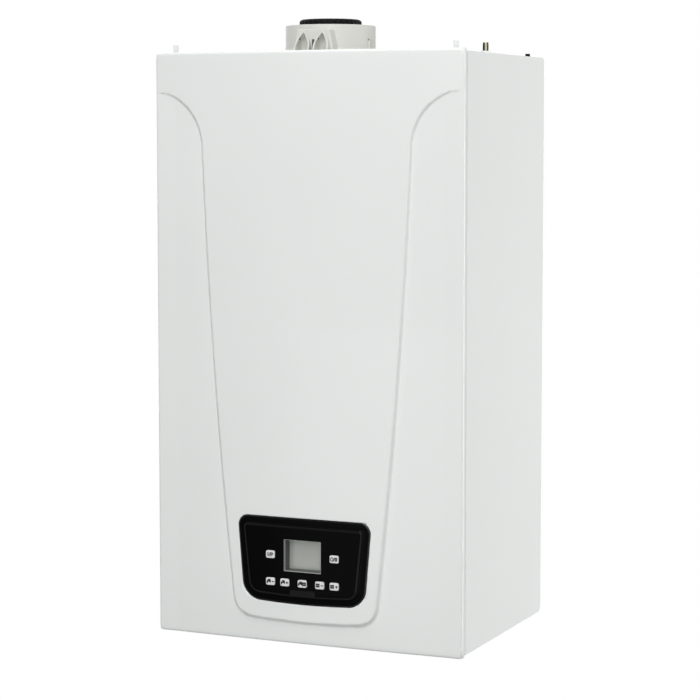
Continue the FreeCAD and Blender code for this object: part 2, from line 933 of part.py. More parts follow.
def control_cover():
    """Front of the control box with the fascia turret, its windows and its board posts."""
    half = control_width / 2
    low = foot + control_low
    plate_back = control_front + control_wall
    plate = rounded(block(-half, half, control_front, plate_back, low, low + control_height),
                    control_wall, Y_AXIS)
    turret = fascia_prism(0, fascia_front, control_front, fascia_top_radius, fascia_foot_radius)
    room = fascia_prism(-control_wall, fascia_back, plate_back + overrun,
                        fascia_top_radius - control_wall, fascia_foot_radius - control_wall)
    face = fascia_prism(-face_inset, face_front, fascia_back, face_top_radius, face_foot_radius)
    face_room = fascia_prism(-face_inset - control_wall, face_back, fascia_back + overrun,
                             face_top_radius - control_wall, face_foot_radius - control_wall)
    cover = plate.fuse([turret, face]).cut([room, face_room])
    window = display_opening(0, face_front - overrun, face_back + overrun)
    cuts = [window]
    for x, z in button_places().values():
        cuts.append(button_block(x, z, button_gap, face_front - overrun, face_back + overrun))
    wide = cover_width / 2 + cover_gap
    base = cover_low()
    cuts.append(block(-wide, wide, face_front - overrun, face_back + overrun,
                      base - cover_swing_gap, base + cover_height + cover_gap))
    pin_y, pin_z = cover_axis()
    pin_half = cover_width / 2 + cover_pin_length + cover_gap
    hole = cover_pin_radius + running_clearance
    cuts.append(rod(hole, Vector(-pin_half, pin_y, pin_z), Vector(pin_half, pin_y, pin_z)))
    cover = cover.cut(cuts)
    posts = []
    for x, z in board_posts():
        posts.append(rod(board_post_radius, Vector(x, face_back, z), Vector(x, board_front, z)))
    return cover.fuse(posts).removeSplitter()


def board_posts():
    """Places of the four posts that carry the circuit board."""
    half = board_width / 2 - board_post_radius
    low = foot + fascia_low + face_inset + board_post_radius * 2
    high = low + board_height - board_post_radius * board_post_share
    return ((-half, low), (half, low), (-half, high), (half, high))


def display_opening(grow, y_front, y_back):
    """Block over the display window, grown all round."""
    half = display_width / 2 + grow
    rise = display_height / 2 + grow
    middle = foot + display_middle
    return block(-half, half, y_front, y_back, middle - rise, middle + rise)


def display_frame():
    """Deep frame of the display window, from the fascia back to the screen."""
    skirt = display_opening(display_wall, face_back, screen_front)
    return skirt.cut(display_opening(0, face_back - overrun, screen_front + overrun))


def display_screen():
    """Liquid crystal screen on the circuit board."""
    return display_opening(display_wall, screen_front, board_front)


def button_block(x, z, grow, y_front, y_back):
    """Rounded block on a button's outline, grown all round."""
    half = button_width / 2 + grow
    rise = button_height / 2 + grow
    return rounded(block(x - half, x + half, y_front, y_back, z - rise, z + rise), button_radius, Y_AXIS)


def button(x, z):
    """Button cap with its retaining flange and stem."""
    cap = button_block(x, z, 0, face_front - button_stand, face_back + button_flange_depth)
    flange = button_block(x, z, button_flange, face_back, face_back + button_flange_depth)
    stem_end = switch_front() - button_travel - button_spare
    stem = rod(button_stem_radius, Vector(x, face_back, z), Vector(x, stem_end, z))
    return joined([cap, flange, stem])


def switch_front():
    """Front of the push switches on the board."""
    return screen_front - switch_width / 2


def circuit_board():
    """Board with its push switches in front and a transformer behind."""
    low = foot + fascia_low + face_inset
    back = board_front + board_thickness
    solids = [block(-board_width / 2, board_width / 2, board_front, back, low, low + board_height)]
    for x, z in button_places().values():
        half = switch_width / 2
        solids.append(block(x - half, x + half, switch_front(), board_front, z - half, z + half))
    half = transformer_width / 2
    solids.append(block(-half, half, back, back + transformer_depth, low, low + transformer_height))
    return joined(solids)


def service_cover():
    """Small flap over the service socket, hinged along its lower edge."""
    base = cover_low()
    half = cover_width / 2
    front = face_front - cover_stand
    plate = rounded(block(-half, half, front, front + cover_thickness, base, base + cover_height),
                    cover_radius / 2, Y_AXIS)
    pin_y, pin_z = cover_axis()
    reach = half + cover_pin_length
    pin = rod(cover_pin_radius, Vector(-reach, pin_y, pin_z), Vector(reach, pin_y, pin_z))
    knuckle = block(-half, half, front, pin_y, pin_z - cover_pin_radius, pin_z + cover_pin_radius)
    return joined([plate, knuckle, pin])


def gothic_prism(x, y_front, y_back, z_low, width, height, arch):
    """Prism with a pointed arch at its top."""
    half = width / 2
    spring = z_low + height - arch
    left = Vector(x - half, y_front, spring)
    right = Vector(x + half, y_front, spring)
    peak = Vector(x, y_front, z_low + height)
    lean = half * arch_lean_share
    rise = arch * arch_rise_share
    edges = [Part.LineSegment(Vector(x - half, y_front, z_low), left).toShape()]
    edges.append(Part.Arc(left, Vector(x - half + lean, y_front, spring + rise), peak).toShape())
    edges.append(Part.Arc(peak, Vector(x + half - lean, y_front, spring + rise), right).toShape())
    edges.append(Part.LineSegment(right, Vector(x + half, y_front, z_low)).toShape())
    edges.append(Part.LineSegment(Vector(x + half, y_front, z_low),
                                  Vector(x - half, y_front, z_low)).toShape())
    return Part.Face(Part.Wire(edges)).extrude(Y_AXIS * (y_back - y_front))


def flue_adapter():
    """Two sockets, one in the other, on a screwed flange, with the sampling ports in front."""
    shapes = [rod(adapter_radius, flue_point(body_top), flue_point(adapter_top))]
    shapes.append(rod(adapter_flange_radius, flue_point(body_top), flue_point(body_top + adapter_flange)))
    skirt_low = body_top + adapter_flange
    shapes.append(Part.makeCone(adapter_flange_radius, adapter_radius, adapter_skirt,
                                flue_point(skirt_low), Z_AXIS))
    for x, y in adapter_ears():
        shapes.append(rod(ear_radius, Vector(x, y, body_top), Vector(x, y, body_top + adapter_flange)))
    left = flue_x + port_shift - port_block_width / 2
    right = flue_x + port_shift + port_block_width / 2
    front = flue_y - adapter_radius - port_block_stand
    shapes.append(block(left, right, front, flue_y, body_top, body_top + port_block_height))
    rib_x = flue_x + adapter_radius - rib_width
    shapes.append(block(rib_x, flue_x + adapter_radius + rib_stand, flue_y - adapter_wall,
                        flue_y + adapter_wall,
                        body_top, body_top + rib_height))
    body = joined(shapes)
    body = body.cut(rod(adapter_radius - adapter_wall, flue_point(body_top - overrun),
                        flue_point(adapter_top + overrun)))
    socket_outer = inner_socket_radius + inner_socket_wall
    wall_low = body_top - inner_socket_drop
    body = body.fuse(rod(socket_outer, flue_point(wall_low), flue_point(adapter_top)))
    webs = []
    for index in range(web_count):
        web = block(flue_x + inner_socket_radius, flue_x + adapter_radius - adapter_wall / 2,
                    flue_y - web_thickness / 2, flue_y + web_thickness / 2, body_top, body_top + web_height)
        web.rotate(flue_point(0), Z_AXIS, ear_turn + full_turn * index / web_count)
        webs.append(web)
    body = body.fuse(webs)
    cuts = [rod(inner_socket_radius, flue_point(socket_stop_z), flue_point(adapter_top + overrun))]
    cuts.append(rod(inner_socket_radius - inner_socket_stop, flue_point(wall_low - overrun),
                    flue_point(adapter_top)))
    cuts.append(rod(inner_socket_radius, flue_point(wall_low - overrun),
                    flue_point(socket_stop_z - inner_socket_stop)))
    low = body_top + adapter_flange
    for side in (-1, 1):
        x = flue_x + port_shift + side * port_pitch / 2
        cuts.append(gothic_prism(x, front - overrun, front + port_depth, low, port_width, port_height,
                                 port_arch))
        z = low + port_plug_height
        cuts.append(rod(port_plug_radius, Vector(x, front, z),
                        Vector(x, front + port_depth + adapter_wall, z)))
    for x, y in adapter_ears():
        cuts.append(rod(screw_radius, Vector(x, y, body_top - overrun), Vector(x, y, low + overrun)))
    return body.cut(cuts).removeSplitter()


def sampling_plugs():
    """Two rubber plugs in the sampling ports."""
    solids = []
    front = flue_y - adapter_radius - port_block_stand + port_depth
    z = body_top + adapter_flange + port_plug_height
    for side in (-1, 1):
        x = flue_x + port_shift + side * port_pitch / 2
        stem = rod(port_plug_radius, Vector(x, front, z), Vector(x, front + adapter_wall, z))
        head = rod(port_plug_radius + fit_gap * 2, Vector(x, front - port_plug_depth, z),
                   Vector(x, front, z))
        solids.append(head.fuse(stem).removeSplitter())
    return Part.makeCompound(solids)


def flue_seal():
    """Ribbed lip seal over the rim of the inner socket."""
    outer = inner_socket_radius + inner_socket_wall
    low = adapter_top - seal_height + seal_stand
    high = adapter_top + seal_stand
    ring = tube(seal_radius - seal_rib_stand, inner_socket_radius, flue_point(low), flue_point(high))
    ribs = []
    for index in range(seal_rib_count):
        rib = block(flue_x + outer + seal_rib_stand, flue_x + seal_radius, flue_y - seal_rib_width / 2,
                    flue_y + seal_rib_width / 2, low, high - seal_rib_stand * 2)
        rib.rotate(flue_point(0), Z_AXIS, full_turn * index / seal_rib_count)
        ribs.append(rib)
    ring = ring.fuse(ribs)
    return ring.cut(tube(outer, inner_socket_radius - overrun, flue_point(low - overrun),
                         flue_point(adapter_top)))


def flue_duct():
    """Straight plastic duct from the exchanger's collar up into the adapter."""
    top = socket_stop_z - inner_socket_stop
    outer = inner_socket_radius - fit_gap
    return tube(outer, outer - inner_socket_stop, flue_point(collar_top() - collar_height), flue_point(top))


def collar_top():
    """Top of the flue collar on the exchanger."""
    return body_top - inner_socket_drop - fit_gap * 2


def air_vent():
    """Brass bleed cap on its stem."""
    seat = body_top + vent_boss_height
    cap = rod(vent_cap_radius, vent_point(seat + fit_gap), vent_point(seat + vent_cap_height))
    stem = rod(vent_stem_radius, vent_point(seat - vent_stem_length),
               vent_point(seat + vent_cap_height / 2))
    return joined([cap, stem])


def grommets():
    """Rubber rings round the connections, the cable gland and the blanking plug on top."""
    solids = []
    for x, radius in connections():
        inner = radius - thread_step
        low = body_foot - grommet_rise / 2
        high = body_foot + sheet + grommet_rise
        ring = tube(inner + grommet_wall, inner, Vector(x, connection_y, low),
                    Vector(x, connection_y, high))
        lip = tube(inner + grommet_wall + grommet_lip, inner, Vector(x, connection_y, body_foot + sheet),
                   Vector(x, connection_y, high))
        solids.append(joined([ring, lip]))
    gland_low = Vector(gland_x, -gland_setback, body_foot - gland_drop)
    gland_high = Vector(gland_x, -gland_setback, body_foot + gland_rise)
    gland = rod(gland_radius, gland_low, gland_high)
    hex_base = Vector(gland_x, -gland_setback, body_foot - gland_drop / 2)
    gland = gland.fuse(hexagon(2 * gland_radius + grommet_lip * 2, hex_base,
                               Vector(gland_x, -gland_setback, body_foot)))
    solids.append(gland.cut(rod(gland_bore, gland_low, gland_high)).removeSplitter())
    cap = rod(plug_radius, plug_point(body_top), plug_point(body_top + plug_stand))
    stem = rod(plug_stem_radius, plug_point(body_top - plug_stem_length), plug_point(body_top))
    solids.append(joined([cap, stem]))
    return Part.makeCompound(solids)


def expansion_vessel():
    """Flat welded vessel on the rear frame, with its seam."""
    low = foot + vessel_low
    high = low + vessel_height
    half = vessel_width / 2
    body = rounded(block(-half, half, vessel_front, -rear_sheet, low, high), vessel_corner, Y_AXIS)
    front = [edge for edge in body.Edges if edge.BoundBox.YMax < vessel_front + fit_gap]
    body = body.makeFillet(vessel_edge, front)
    middle = (vessel_front - rear_sheet) / 2
    stand = vessel_seam_stand
    seam = block(-half - stand, half + stand, middle - vessel_seam_width / 2,
                 middle + vessel_seam_width / 2,
                 low - stand, high + stand)
    boss_low = Vector(vessel_pipe_x, -vessel_pipe_setback, low - stand)
    boss_high = Vector(vessel_pipe_x, -vessel_pipe_setback, low + vessel_edge)
    boss = rod(vessel_boss_radius, boss_low, boss_high)
    body = joined([body, rounded(seam, vessel_corner + stand, Y_AXIS), boss])
    wall = vessel_wall
    room = block(wall - half, half - wall, vessel_front + wall, -rear_sheet - wall, low + wall, high - wall)
    room = rounded(room, vessel_corner - wall, Y_AXIS)
    front = [edge for edge in room.Edges if edge.BoundBox.YMax < vessel_front + wall + fit_gap]
    room = room.makeFillet(vessel_edge - wall, front)
    bore = rod(vessel_pipe_radius - pipe_wall, boss_low, boss_high)
    return body.cut([room, bore])


def exchanger_shell():
    """Drum of the heat exchanger with its collar, ports, lugs and door flange."""
    left = Vector(shell_left, shell_y, shell_z)
    right = Vector(shell_right, shell_y, shell_z)
    shapes = [rod(shell_radius, left, right)]
    collar_radius = inner_socket_radius + collar_wall
    shapes.append(rod(collar_radius, flue_point(shell_z), flue_point(collar_top())))
    for x, y in shell_ports():
        shapes.append(rod(port_boss_radius, Vector(x, y, shell_z), Vector(x, y, port_level(y))))
    neck = trap_neck_radius
    shapes.append(rod(neck, Vector(drain_x, shell_y, shell_z),
                      Vector(drain_x, shell_y, drain_z - trap_neck)))
    for x in arm_places():
        half = arm_width / 2
        shapes.append(block(x - half, x + half, shell_y - arm_lug / 2, shell_y + arm_lug / 2, shell_z,
                            arm_z))
    body = joined(shapes)
    inside = X_AXIS * shell_wall
    body = body.cut(rod(shell_inner, left + inside, right - X_AXIS * shell_flange))
    cuts = [rod(shell_mouth_radius, Vector(0, shell_y, shell_z), right + X_AXIS * overrun)]
    cuts.append(rod(inner_socket_radius, flue_point(shell_z), flue_point(collar_top() + overrun)))
    for x, y in shell_ports():
        cuts.append(rod(pipe_radius, Vector(x, y, shell_z), Vector(x, y, port_level(y) - overrun)))
    bore = Vector(drain_x, shell_y, drain_z - trap_neck - overrun)
    cuts.append(rod(neck - hose_wall, Vector(drain_x, shell_y, shell_z), bore))
    for y, z in door_studs():
        cuts.append(rod(stud_radius, Vector(shell_right - shell_flange / 2, y, z),
                        Vector(door_front, y, z)))
    return body.cut(cuts).removeSplitter()


def shell_ports():
    """Places of the return and flow ports under the exchanger."""
    return ((0, connection_y), (flow_port_x, connection_y))


def port_level(y):
    """Lower end of a port under the exchanger."""
    return shell_z - math.sqrt(shell_radius ** 2 - (y - shell_y) ** 2) - port_boss_drop


def exchanger_coil():
    """Stack of tube turns round the burner, as one grooved sleeve."""
    outer = shell_inner - fit_gap
    start = shell_left + shell_wall + coil_end_gap
    end = shell_right - shell_flange - coil_end_gap
    pitch = (end - start) / coil_turns
    points = [Vector(start, shell_y, shell_z + coil_inner)]
    for index in range(coil_turns):
        x = start + index * pitch
        points.append(Vector(x, shell_y, shell_z + outer - coil_groove))
        for share in coil_crest_shares:
            points.append(Vector(x + pitch * share, shell_y, shell_z + outer))
    points.append(Vector(end, shell_y, shell_z + outer - coil_groove))
    points.append(Vector(end, shell_y, shell_z + coil_inner))
    points.append(points[0])
    return Part.Face(Part.makePolygon(points)).revolve(Vector(0, shell_y, shell_z), X_AXIS, full_turn)


def burner_door():
    """Cast door on the exchanger's right end."""
    inner = Vector(shell_right, shell_y, shell_z)
    outer = Vector(door_front, shell_y, shell_z)
    door = rod(shell_radius, inner, outer).cut(rod(door_bore, inner, outer))
    cuts = [rod(stud_radius, Vector(shell_right, y, z), Vector(door_front, y, z)) for y, z in door_studs()]
    for y in electrode_places():
        z = shell_z + electrode_offset
        cuts.append(rod(electrode_radius, Vector(shell_right, y, z), Vector(door_front, y, z)))
    return door.cut(cuts)


def electrode_places():
    """Depth of the two electrodes in the burner door."""
    return (shell_y - electrode_spread, shell_y + electrode_spread)


def burner_tube():
    """Closed burner tube on the inside of the door."""
    start = Vector(shell_right, shell_y, shell_z)
    end = start - X_AXIS * burner_length
    room = rod(burner_radius - burner_wall, start, end + X_AXIS * burner_wall)
    return rod(burner_radius, start, end).cut(room)


def electrodes():
    """Ignition and flame-sensing electrodes through the door."""
    solids = []
    z = shell_z + electrode_offset
    for y in electrode_places():
        body = rod(electrode_radius, Vector(shell_right, y, z), Vector(door_front + electrode_stand, y, z))
        wire = rod(electrode_wire, Vector(shell_right - electrode_reach, y, z), Vector(door_front, y, z))
        solids.append(joined([body, wire]))
    return Part.makeCompound(solids)


def mixture_duct():
    """Cast duct from the fan's outlet up to the burner door."""
    half = duct_width / 2
    high = shell_z + duct_head
    right = door_front + duct_depth
    body = rounded(block(door_front, right, shell_y - half, shell_y + half, duct_foot_z, high),
                   duct_radius, X_AXIS)
    room = block(door_front + duct_wall, right - duct_wall, shell_y - half + duct_wall,
                 shell_y + half - duct_wall,
                 duct_foot_z - overrun, high - duct_wall)
    mouth = rod(door_bore, Vector(door_front - overrun, shell_y, shell_z),
                Vector(right - duct_wall, shell_y, shell_z))
    return body.cut([room, mouth])


def fan_point(x):
    """Point on the fan's axis."""
    return Vector(x, fan_y, fan_z)


def fan_housing():
    """Scroll of the fan with its outlet upwards."""
    half = duct_width / 2
    outlet_right = door_front + duct_depth
    scroll = rod(fan_radius, fan_point(door_front), fan_point(fan_right))
    outlet = block(door_front, outlet_right, shell_y - half, shell_y + half, fan_z, duct_foot_z)
    room = rod(fan_radius - fan_wall, fan_point(door_front + fan_wall), fan_point(fan_right - fan_wall))
    throat = block(door_front + duct_wall, outlet_right - duct_wall, shell_y - half + duct_wall,
                   shell_y + half - duct_wall, fan_z, duct_foot_z + overrun)
    inlet = rod(fan_inlet_radius, fan_point(door_front - overrun), fan_point(door_front + fan_wall))
    shaft = rod(fan_shaft_radius + running_clearance, fan_point(fan_right - fan_wall),
                fan_point(fan_right + overrun))
    return scroll.fuse(outlet).cut([room, throat, inlet, shaft]).removeSplitter()


def wheel(plate, ring, hub, shaft, centre, axis, blades, blade):
    """Impeller joined from its plate, ring, hub, shaft and a pattern of one blade."""
    shapes = [plate, ring, hub, shaft]
    for index in range(blades):
        copy = blade.copy()
        copy.rotate(centre, axis, full_turn * index / blades)
        shapes.append(copy)
    return joined(shapes)


def fan_impeller():
    """Fan wheel on its shaft."""
    radius = fan_radius - fan_wall - impeller_gap
    left = door_front + fan_wall + impeller_side_gap
    right = left + impeller_width
    plate = rod(radius, fan_point(right - impeller_plate), fan_point(right))
    ring = tube(radius, fan_inlet_radius, fan_point(left), fan_point(left + impeller_plate))
    hub = rod(impeller_hub, fan_point(right - impeller_width / 2), fan_point(right))
    shaft = rod(fan_shaft_radius, fan_point(right - impeller_plate), fan_point(fan_right + fan_shaft_reach))
    blade = block(left, right, fan_y - impeller_plate / 2, fan_y + impeller_plate / 2,
                  fan_z + fan_inlet_radius, fan_z + radius - fit_gap)
    blade.rotate(Vector(0, fan_y, fan_z + fan_inlet_radius), X_AXIS, impeller_lean)
    rim = rod(radius, fan_point(left), fan_point(right))
    return wheel(plate, ring, hub, shaft, fan_point(0), X_AXIS, impeller_blades, blade.common(rim))


def fan_motor():
    """Motor on the right of the fan, with a bore for its shaft."""
    end = fan_right + fan_motor_length
    body = rod(fan_motor_radius, fan_point(fan_right), fan_point(end))
    rim = [edge for edge in body.Edges if edge.BoundBox.XMin > end - fit_gap]
    body = body.makeFillet(fan_wall, rim)
    bore = fan_shaft_radius + running_clearance
    return body.cut(rod(bore, fan_point(fan_right - overrun),
                        fan_point(fan_right + fan_shaft_reach + fit_gap)))


def gas_mixer():
    """Throat that mixes gas into the air at the fan's inlet."""
    left = door_front - mixer_length
    middle = door_front - mixer_length / 2
    half = mixer_length / 2
    body = rod(mixer_radius, fan_point(left), fan_point(door_front))
    boss_foot = fan_z - mixer_radius - mixer_boss_drop
    boss = rod(mixer_boss_radius, fan_point(middle), Vector(middle, fan_y, boss_foot))
    body = body.fuse(boss)
    cones = [Part.makeCone(mixer_mouth, mixer_throat, half, fan_point(left), X_AXIS)]
    cones.append(Part.makeCone(mixer_throat, fan_inlet_radius, half, fan_point(middle), X_AXIS))
    bore = rod(mixer_boss_radius / 2, fan_point(middle), Vector(middle, fan_y, boss_foot - overrun))
    return body.cut(cones + [bore]).removeSplitter()


def valve_top():
    """Top of the gas valve, under the mixer's boss."""
    return fan_z - mixer_radius - mixer_boss_drop


def gas_valve():
    """Gas valve body with two solenoids on its front."""
    half = valve_depth / 2
    top = valve_top()
    low = top - valve_height
    body = block(valve_left, valve_left + valve_width, fan_y - half, fan_y + half, low, top)
    body = rounded(body, valve_radius, Y_AXIS)
    front = fan_y - half
    coils = []
    for share in (solenoid_share, 1 - solenoid_share):
        x = valve_left + valve_width * share
        z = (low + top) / 2
        coils.append(rod(solenoid_radius, Vector(x, front, z), Vector(x, front - solenoid_length, z)))
    inlet = rod(pipe_radius - pipe_wall, Vector(0, fan_y, low - overrun),
                Vector(0, fan_y, low + valve_radius))
    return joined([body] + coils).cut(inlet)


def gas_pipe():
    """Copper pipe from the gas connection up to the valve."""
    low = valve_top() - valve_height
    points = [Vector(0, connection_y, foot + manifold_foot), Vector(0, connection_y, foot + gas_jog_low)]
    points += [Vector(0, fan_y, foot + gas_jog_top), Vector(0, fan_y, low)]
    return bent_pipe(points, pipe_bend, pipe_radius, pipe_radius - pipe_wall)


def connection_stubs():
    """Five threaded brass connections through the floor."""
    solids = []
    for x, radius in connections():
        def point(height):
            return Vector(x, connection_y, foot + height)
        small = radius == small_thread_radius
        top = manifold_block_low if small else manifold_foot
        thread = rod(radius, point(-thread_drop), point(thread_rise))
        neck = rod(radius - thread_step, point(-thread_drop), point(hex_low))
        nut = hexagon(radius * hex_ratio_share, point(hex_low), point(hex_low + hex_height))
        stub = rod(radius * stub_share, point(hex_low), point(top))
        bore = rod(radius * bore_share, point(-thread_drop), point(top))
        solids.append(joined([thread, neck, nut, stub]).cut(bore))
    return Part.makeCompound(solids)


def manifold_base(side, top):
    """Standing tube and side block that both manifolds share, with a tap boss."""
    x = side * 2 * connection_pitch
    stand = rod(manifold_radius, Vector(x, connection_y, foot + manifold_foot),
                Vector(x, connection_y, top))
    near = x - side * manifold_block_reach
    lane = block(min(x, near), max(x, near), block_front, -plate_front, block_low, block_top)
    tap_x = side * tap_offset
    arm = block(tap_x - tap_arm_width / 2, tap_x + tap_arm_width / 2, -tap_setback - tap_arm_width / 2,
                connection_y,
                block_low, block_low + tap_arm_width)
    boss = rod(tap_boss_radius, Vector(tap_x, -tap_setback, foot + manifold_foot),
               Vector(tap_x, -tap_setback, block_low))
    return joined([stand, lane, arm, boss])


def tap_bore(side):
    """Bore for the stem of a tap."""
    x = side * tap_offset
    low = foot + manifold_foot
    radius = tap_stem_radius + running_clearance
    return rod(radius, Vector(x, -tap_setback, low - overrun),
               Vector(x, -tap_setback, low + tap_stem_reach + fit_gap))


def flow_manifold():
    """Flow side manifold with the diverter's chamber."""
    z = foot + diverter_height
    front = connection_y - diverter_boss_reach
    top = foot + manifold_top
    boss = rod(diverter_boss_radius, Vector(flow_x, connection_y, z), Vector(flow_x, front, z))
    body = joined([manifold_base(-1, top), boss])
    bore = rod(pipe_radius, Vector(flow_x, connection_y, foot), Vector(flow_x, connection_y, top + overrun))
    room = rod(diverter_bore, Vector(flow_x, connection_y + diverter_seat, z),
               Vector(flow_x, front - overrun, z))
    return body.cut([bore, room, tap_bore(-1)]).removeSplitter()


def diverter_motor():
    """Actuator on the front of the diverter chamber."""
    half = diverter_motor_width / 2
    z = foot + diverter_height
    front = connection_y - diverter_boss_reach
    body = block(flow_x - half, flow_x + half, front - diverter_motor_length, front, z - half, z + half)
    body = rounded(body, diverter_motor_radius, Y_AXIS)
    depth = spindle_reach + diverter_travel + fit_gap
    bore_end = Vector(flow_x, front - depth, z)
    return body.cut(rod(spindle_radius + running_clearance, Vector(flow_x, front + overrun, z), bore_end))


def diverter_spindle():
    """Sliding spindle and disc of the diverter."""
    z = foot + diverter_height
    back = connection_y + diverter_seat - fit_gap
    front = connection_y - diverter_boss_reach - spindle_reach
    disc = rod(diverter_disc_radius, Vector(flow_x, back - diverter_disc, z), Vector(flow_x, back, z))
    return joined([disc, rod(spindle_radius, Vector(flow_x, front, z), Vector(flow_x, back, z))])


def plate_exchanger():
    """Brazed stack of plates behind the manifolds."""
    half = plate_width / 2
    pitch = (plate_front - plate_back) / plate_count
    shapes = [block(plate_rim - half, half - plate_rim, -plate_front, -plate_back, block_low + plate_rim,
                    block_top - plate_rim)]
    for index in range(plate_count):
        y = -plate_front + index * pitch
        shapes.append(block(-half, half, y, y + pitch / 2, block_low, block_top))
    return joined(shapes)


def return_manifold():
    """Return side manifold with the pump's volute and the safety valve's arm."""
    top = foot + pump_outlet_top
    volute = rod(pump_radius, Vector(return_x, pump_front, pump_z),
                 Vector(return_x, pump_front + pump_width, pump_z))
    outlet = rod(pump_outlet_radius, Vector(return_x, connection_y, pump_z),
                 Vector(return_x, connection_y, top))
    safety_z = foot + safety_height
    arm = rod(safety_arm_radius, Vector(return_x, connection_y, safety_z),
              Vector(return_x + safety_reach, connection_y, safety_z))
    body = joined([manifold_base(1, pump_z), volute, outlet, arm])
    cavity = rod(pump_cavity_radius, Vector(return_x, pump_front - overrun, pump_z),
                 Vector(return_x, pump_front + pump_cavity_depth, pump_z))
    bore = rod(pipe_radius, Vector(return_x, connection_y, foot),
               Vector(return_x, connection_y, top + overrun))
    return body.cut([cavity, bore, tap_bore(1)]).removeSplitter()


def pump_motor():
    """Pump motor on the front of the volute."""
    front = pump_front - pump_motor_length
    body = rod(pump_motor_radius, Vector(return_x, front, pump_z), Vector(return_x, pump_front, pump_z))
    rim = [edge for edge in body.Edges if edge.BoundBox.YMax < front + fit_gap]
    body = body.makeFillet(pump_flange, rim)
    flange = rod(pump_radius, Vector(return_x, pump_front - pump_flange, pump_z),
                 Vector(return_x, pump_front, pump_z))
    bore = rod(pump_shaft_radius + running_clearance, Vector(return_x, pump_front + overrun, pump_z),
               Vector(return_x, pump_front - pump_shaft_reach - fit_gap, pump_z))
    return joined([body, flange]).cut(bore)


def pump_impeller():
    """Pump wheel on its shaft."""
    def point(y):
        return Vector(return_x, y, pump_z)
    front = pump_front + pump_impeller_gap
    back = front + pump_impeller_width
    radius = pump_impeller_radius
    plate = rod(radius, point(front), point(front + pump_plate))
    ring = tube(radius, radius / 2, point(back - pump_plate), point(back))
    hub = rod(pump_hub_radius, point(front), point(back))
    shaft = rod(pump_shaft_radius, point(pump_front - pump_shaft_reach), point(back))
    blade = block(return_x - pump_plate / 2, return_x + pump_plate / 2, front, back,
                  pump_z + pump_hub_radius - pump_plate, pump_z + radius)
    blade = blade.common(rod(radius, point(front), point(back)))
    return wheel(plate, ring, hub, shaft, point(0), Y_AXIS, pump_blades, blade)


def safety_axis(y):
    """Point on the safety valve's axis."""
    return Vector(return_x + safety_reach, y, foot + safety_height)


def safety_valve():
    """Brass body of the safety valve."""
    back = connection_y + safety_arm_radius
    front = back - safety_length
    body = rod(safety_radius, safety_axis(back), safety_axis(front))
    arm = rod(safety_arm_radius, Vector(return_x, connection_y, foot + safety_height),
              safety_axis(connection_y))
    bore = rod(tap_stem_radius + running_clearance, safety_axis(front - overrun),
               safety_axis(front + safety_stem_reach + fit_gap))
    return body.cut([arm, bore])


def safety_knob():
    """Turning knob of the safety valve."""
    front = connection_y + safety_arm_radius - safety_length
    cap = rod(safety_knob_radius, safety_axis(front - fit_gap), safety_axis(front - safety_knob_length))
    stem = rod(tap_stem_radius, safety_axis(front + safety_stem_reach),
               safety_axis(front - safety_knob_length / 2))
    lobes = []
    for index in range(tap_lobes):
        turn = 2 * math.pi * index / tap_lobes
        way = Vector(math.cos(turn), 0, math.sin(turn)) * safety_knob_radius
        lobes.append(rod(tap_lobe_radius, safety_axis(front - fit_gap) + way,
                         safety_axis(front - safety_knob_length) + way))
    return joined([cap.cut(lobes), stem])


def tap_knob(side):
    """Lobed knob and stem of the filling tap or the drain tap, under the floor."""
    def point(z):
        return Vector(side * tap_offset, -tap_setback, z)
    top = foot - tap_knob_drop
    low = top - tap_knob_height
    cap = rod(tap_knob_radius, point(low), point(top))
    lobes = []
    for index in range(tap_lobes):
        turn = 2 * math.pi * index / tap_lobes
        way = Vector(math.cos(turn), math.sin(turn), 0) * tap_knob_radius
        lobes.append(rod(tap_lobe_radius, point(low) + way, point(top) + way))
    stem = rod(tap_stem_radius, point(top - tap_knob_height / 2),
               point(foot + manifold_foot + tap_stem_reach))
    return joined([cap.cut(lobes), stem])


def return_pipe():
    """Copper pipe from the pump up to the exchanger."""
    high = port_level(connection_y) - pipe_bend - return_straight
    points = [Vector(return_x, connection_y, foot + pump_outlet_top), Vector(return_x, connection_y, high)]
    points += [Vector(0, connection_y, high), Vector(0, connection_y, port_level(connection_y))]
    return bent_pipe(points, pipe_bend, pipe_radius, pipe_radius - pipe_wall)


def flow_pipe():
    """Copper pipe from the exchanger down to the flow manifold."""
    points = [Vector(flow_port_x, connection_y, port_level(connection_y)),
              Vector(flow_port_x, connection_y, foot + flow_jog_top)]
    points += [Vector(flow_x, connection_y, foot + flow_jog_foot),
               Vector(flow_x, connection_y, foot + manifold_top)]
    return bent_pipe(points, pipe_bend, pipe_radius, pipe_radius - pipe_wall)


def vessel_pipe():
    """Thin pipe from the expansion vessel to the return manifold."""
    middle = (block_front - plate_front) / 2
    points = [Vector(vessel_pipe_x, -vessel_pipe_setback, foot + vessel_low - vessel_seam_stand)]
    points.append(Vector(vessel_pipe_x, -vessel_pipe_setback, foot + vessel_jog_top))
    points += [Vector(vessel_pipe_x, middle, foot + vessel_jog_foot),
               Vector(vessel_pipe_x, middle, block_top)]
    return bent_pipe(points, vessel_pipe_bend, vessel_pipe_radius, vessel_pipe_radius - pipe_wall)


def condensate_trap():
    """Trap under the exchanger's drain."""
    low = foot + trap_low
    high = low + trap_height
    start = Vector(drain_x, shell_y, low)
    end = Vector(drain_x, shell_y, high)
    body = rod(trap_radius, start, end)
    body = body.makeFillet(hose_wall, [edge for edge in body.Edges if edge.BoundBox.ZLength < fit_gap])
    neck = rod(trap_neck_radius, start - Z_AXIS * trap_neck, end + Z_AXIS * trap_neck)
    bore = rod(trap_neck_radius - hose_wall, start - Z_AXIS * trap_neck, end + Z_AXIS * trap_neck)
    return joined([body, neck]).cut(bore)


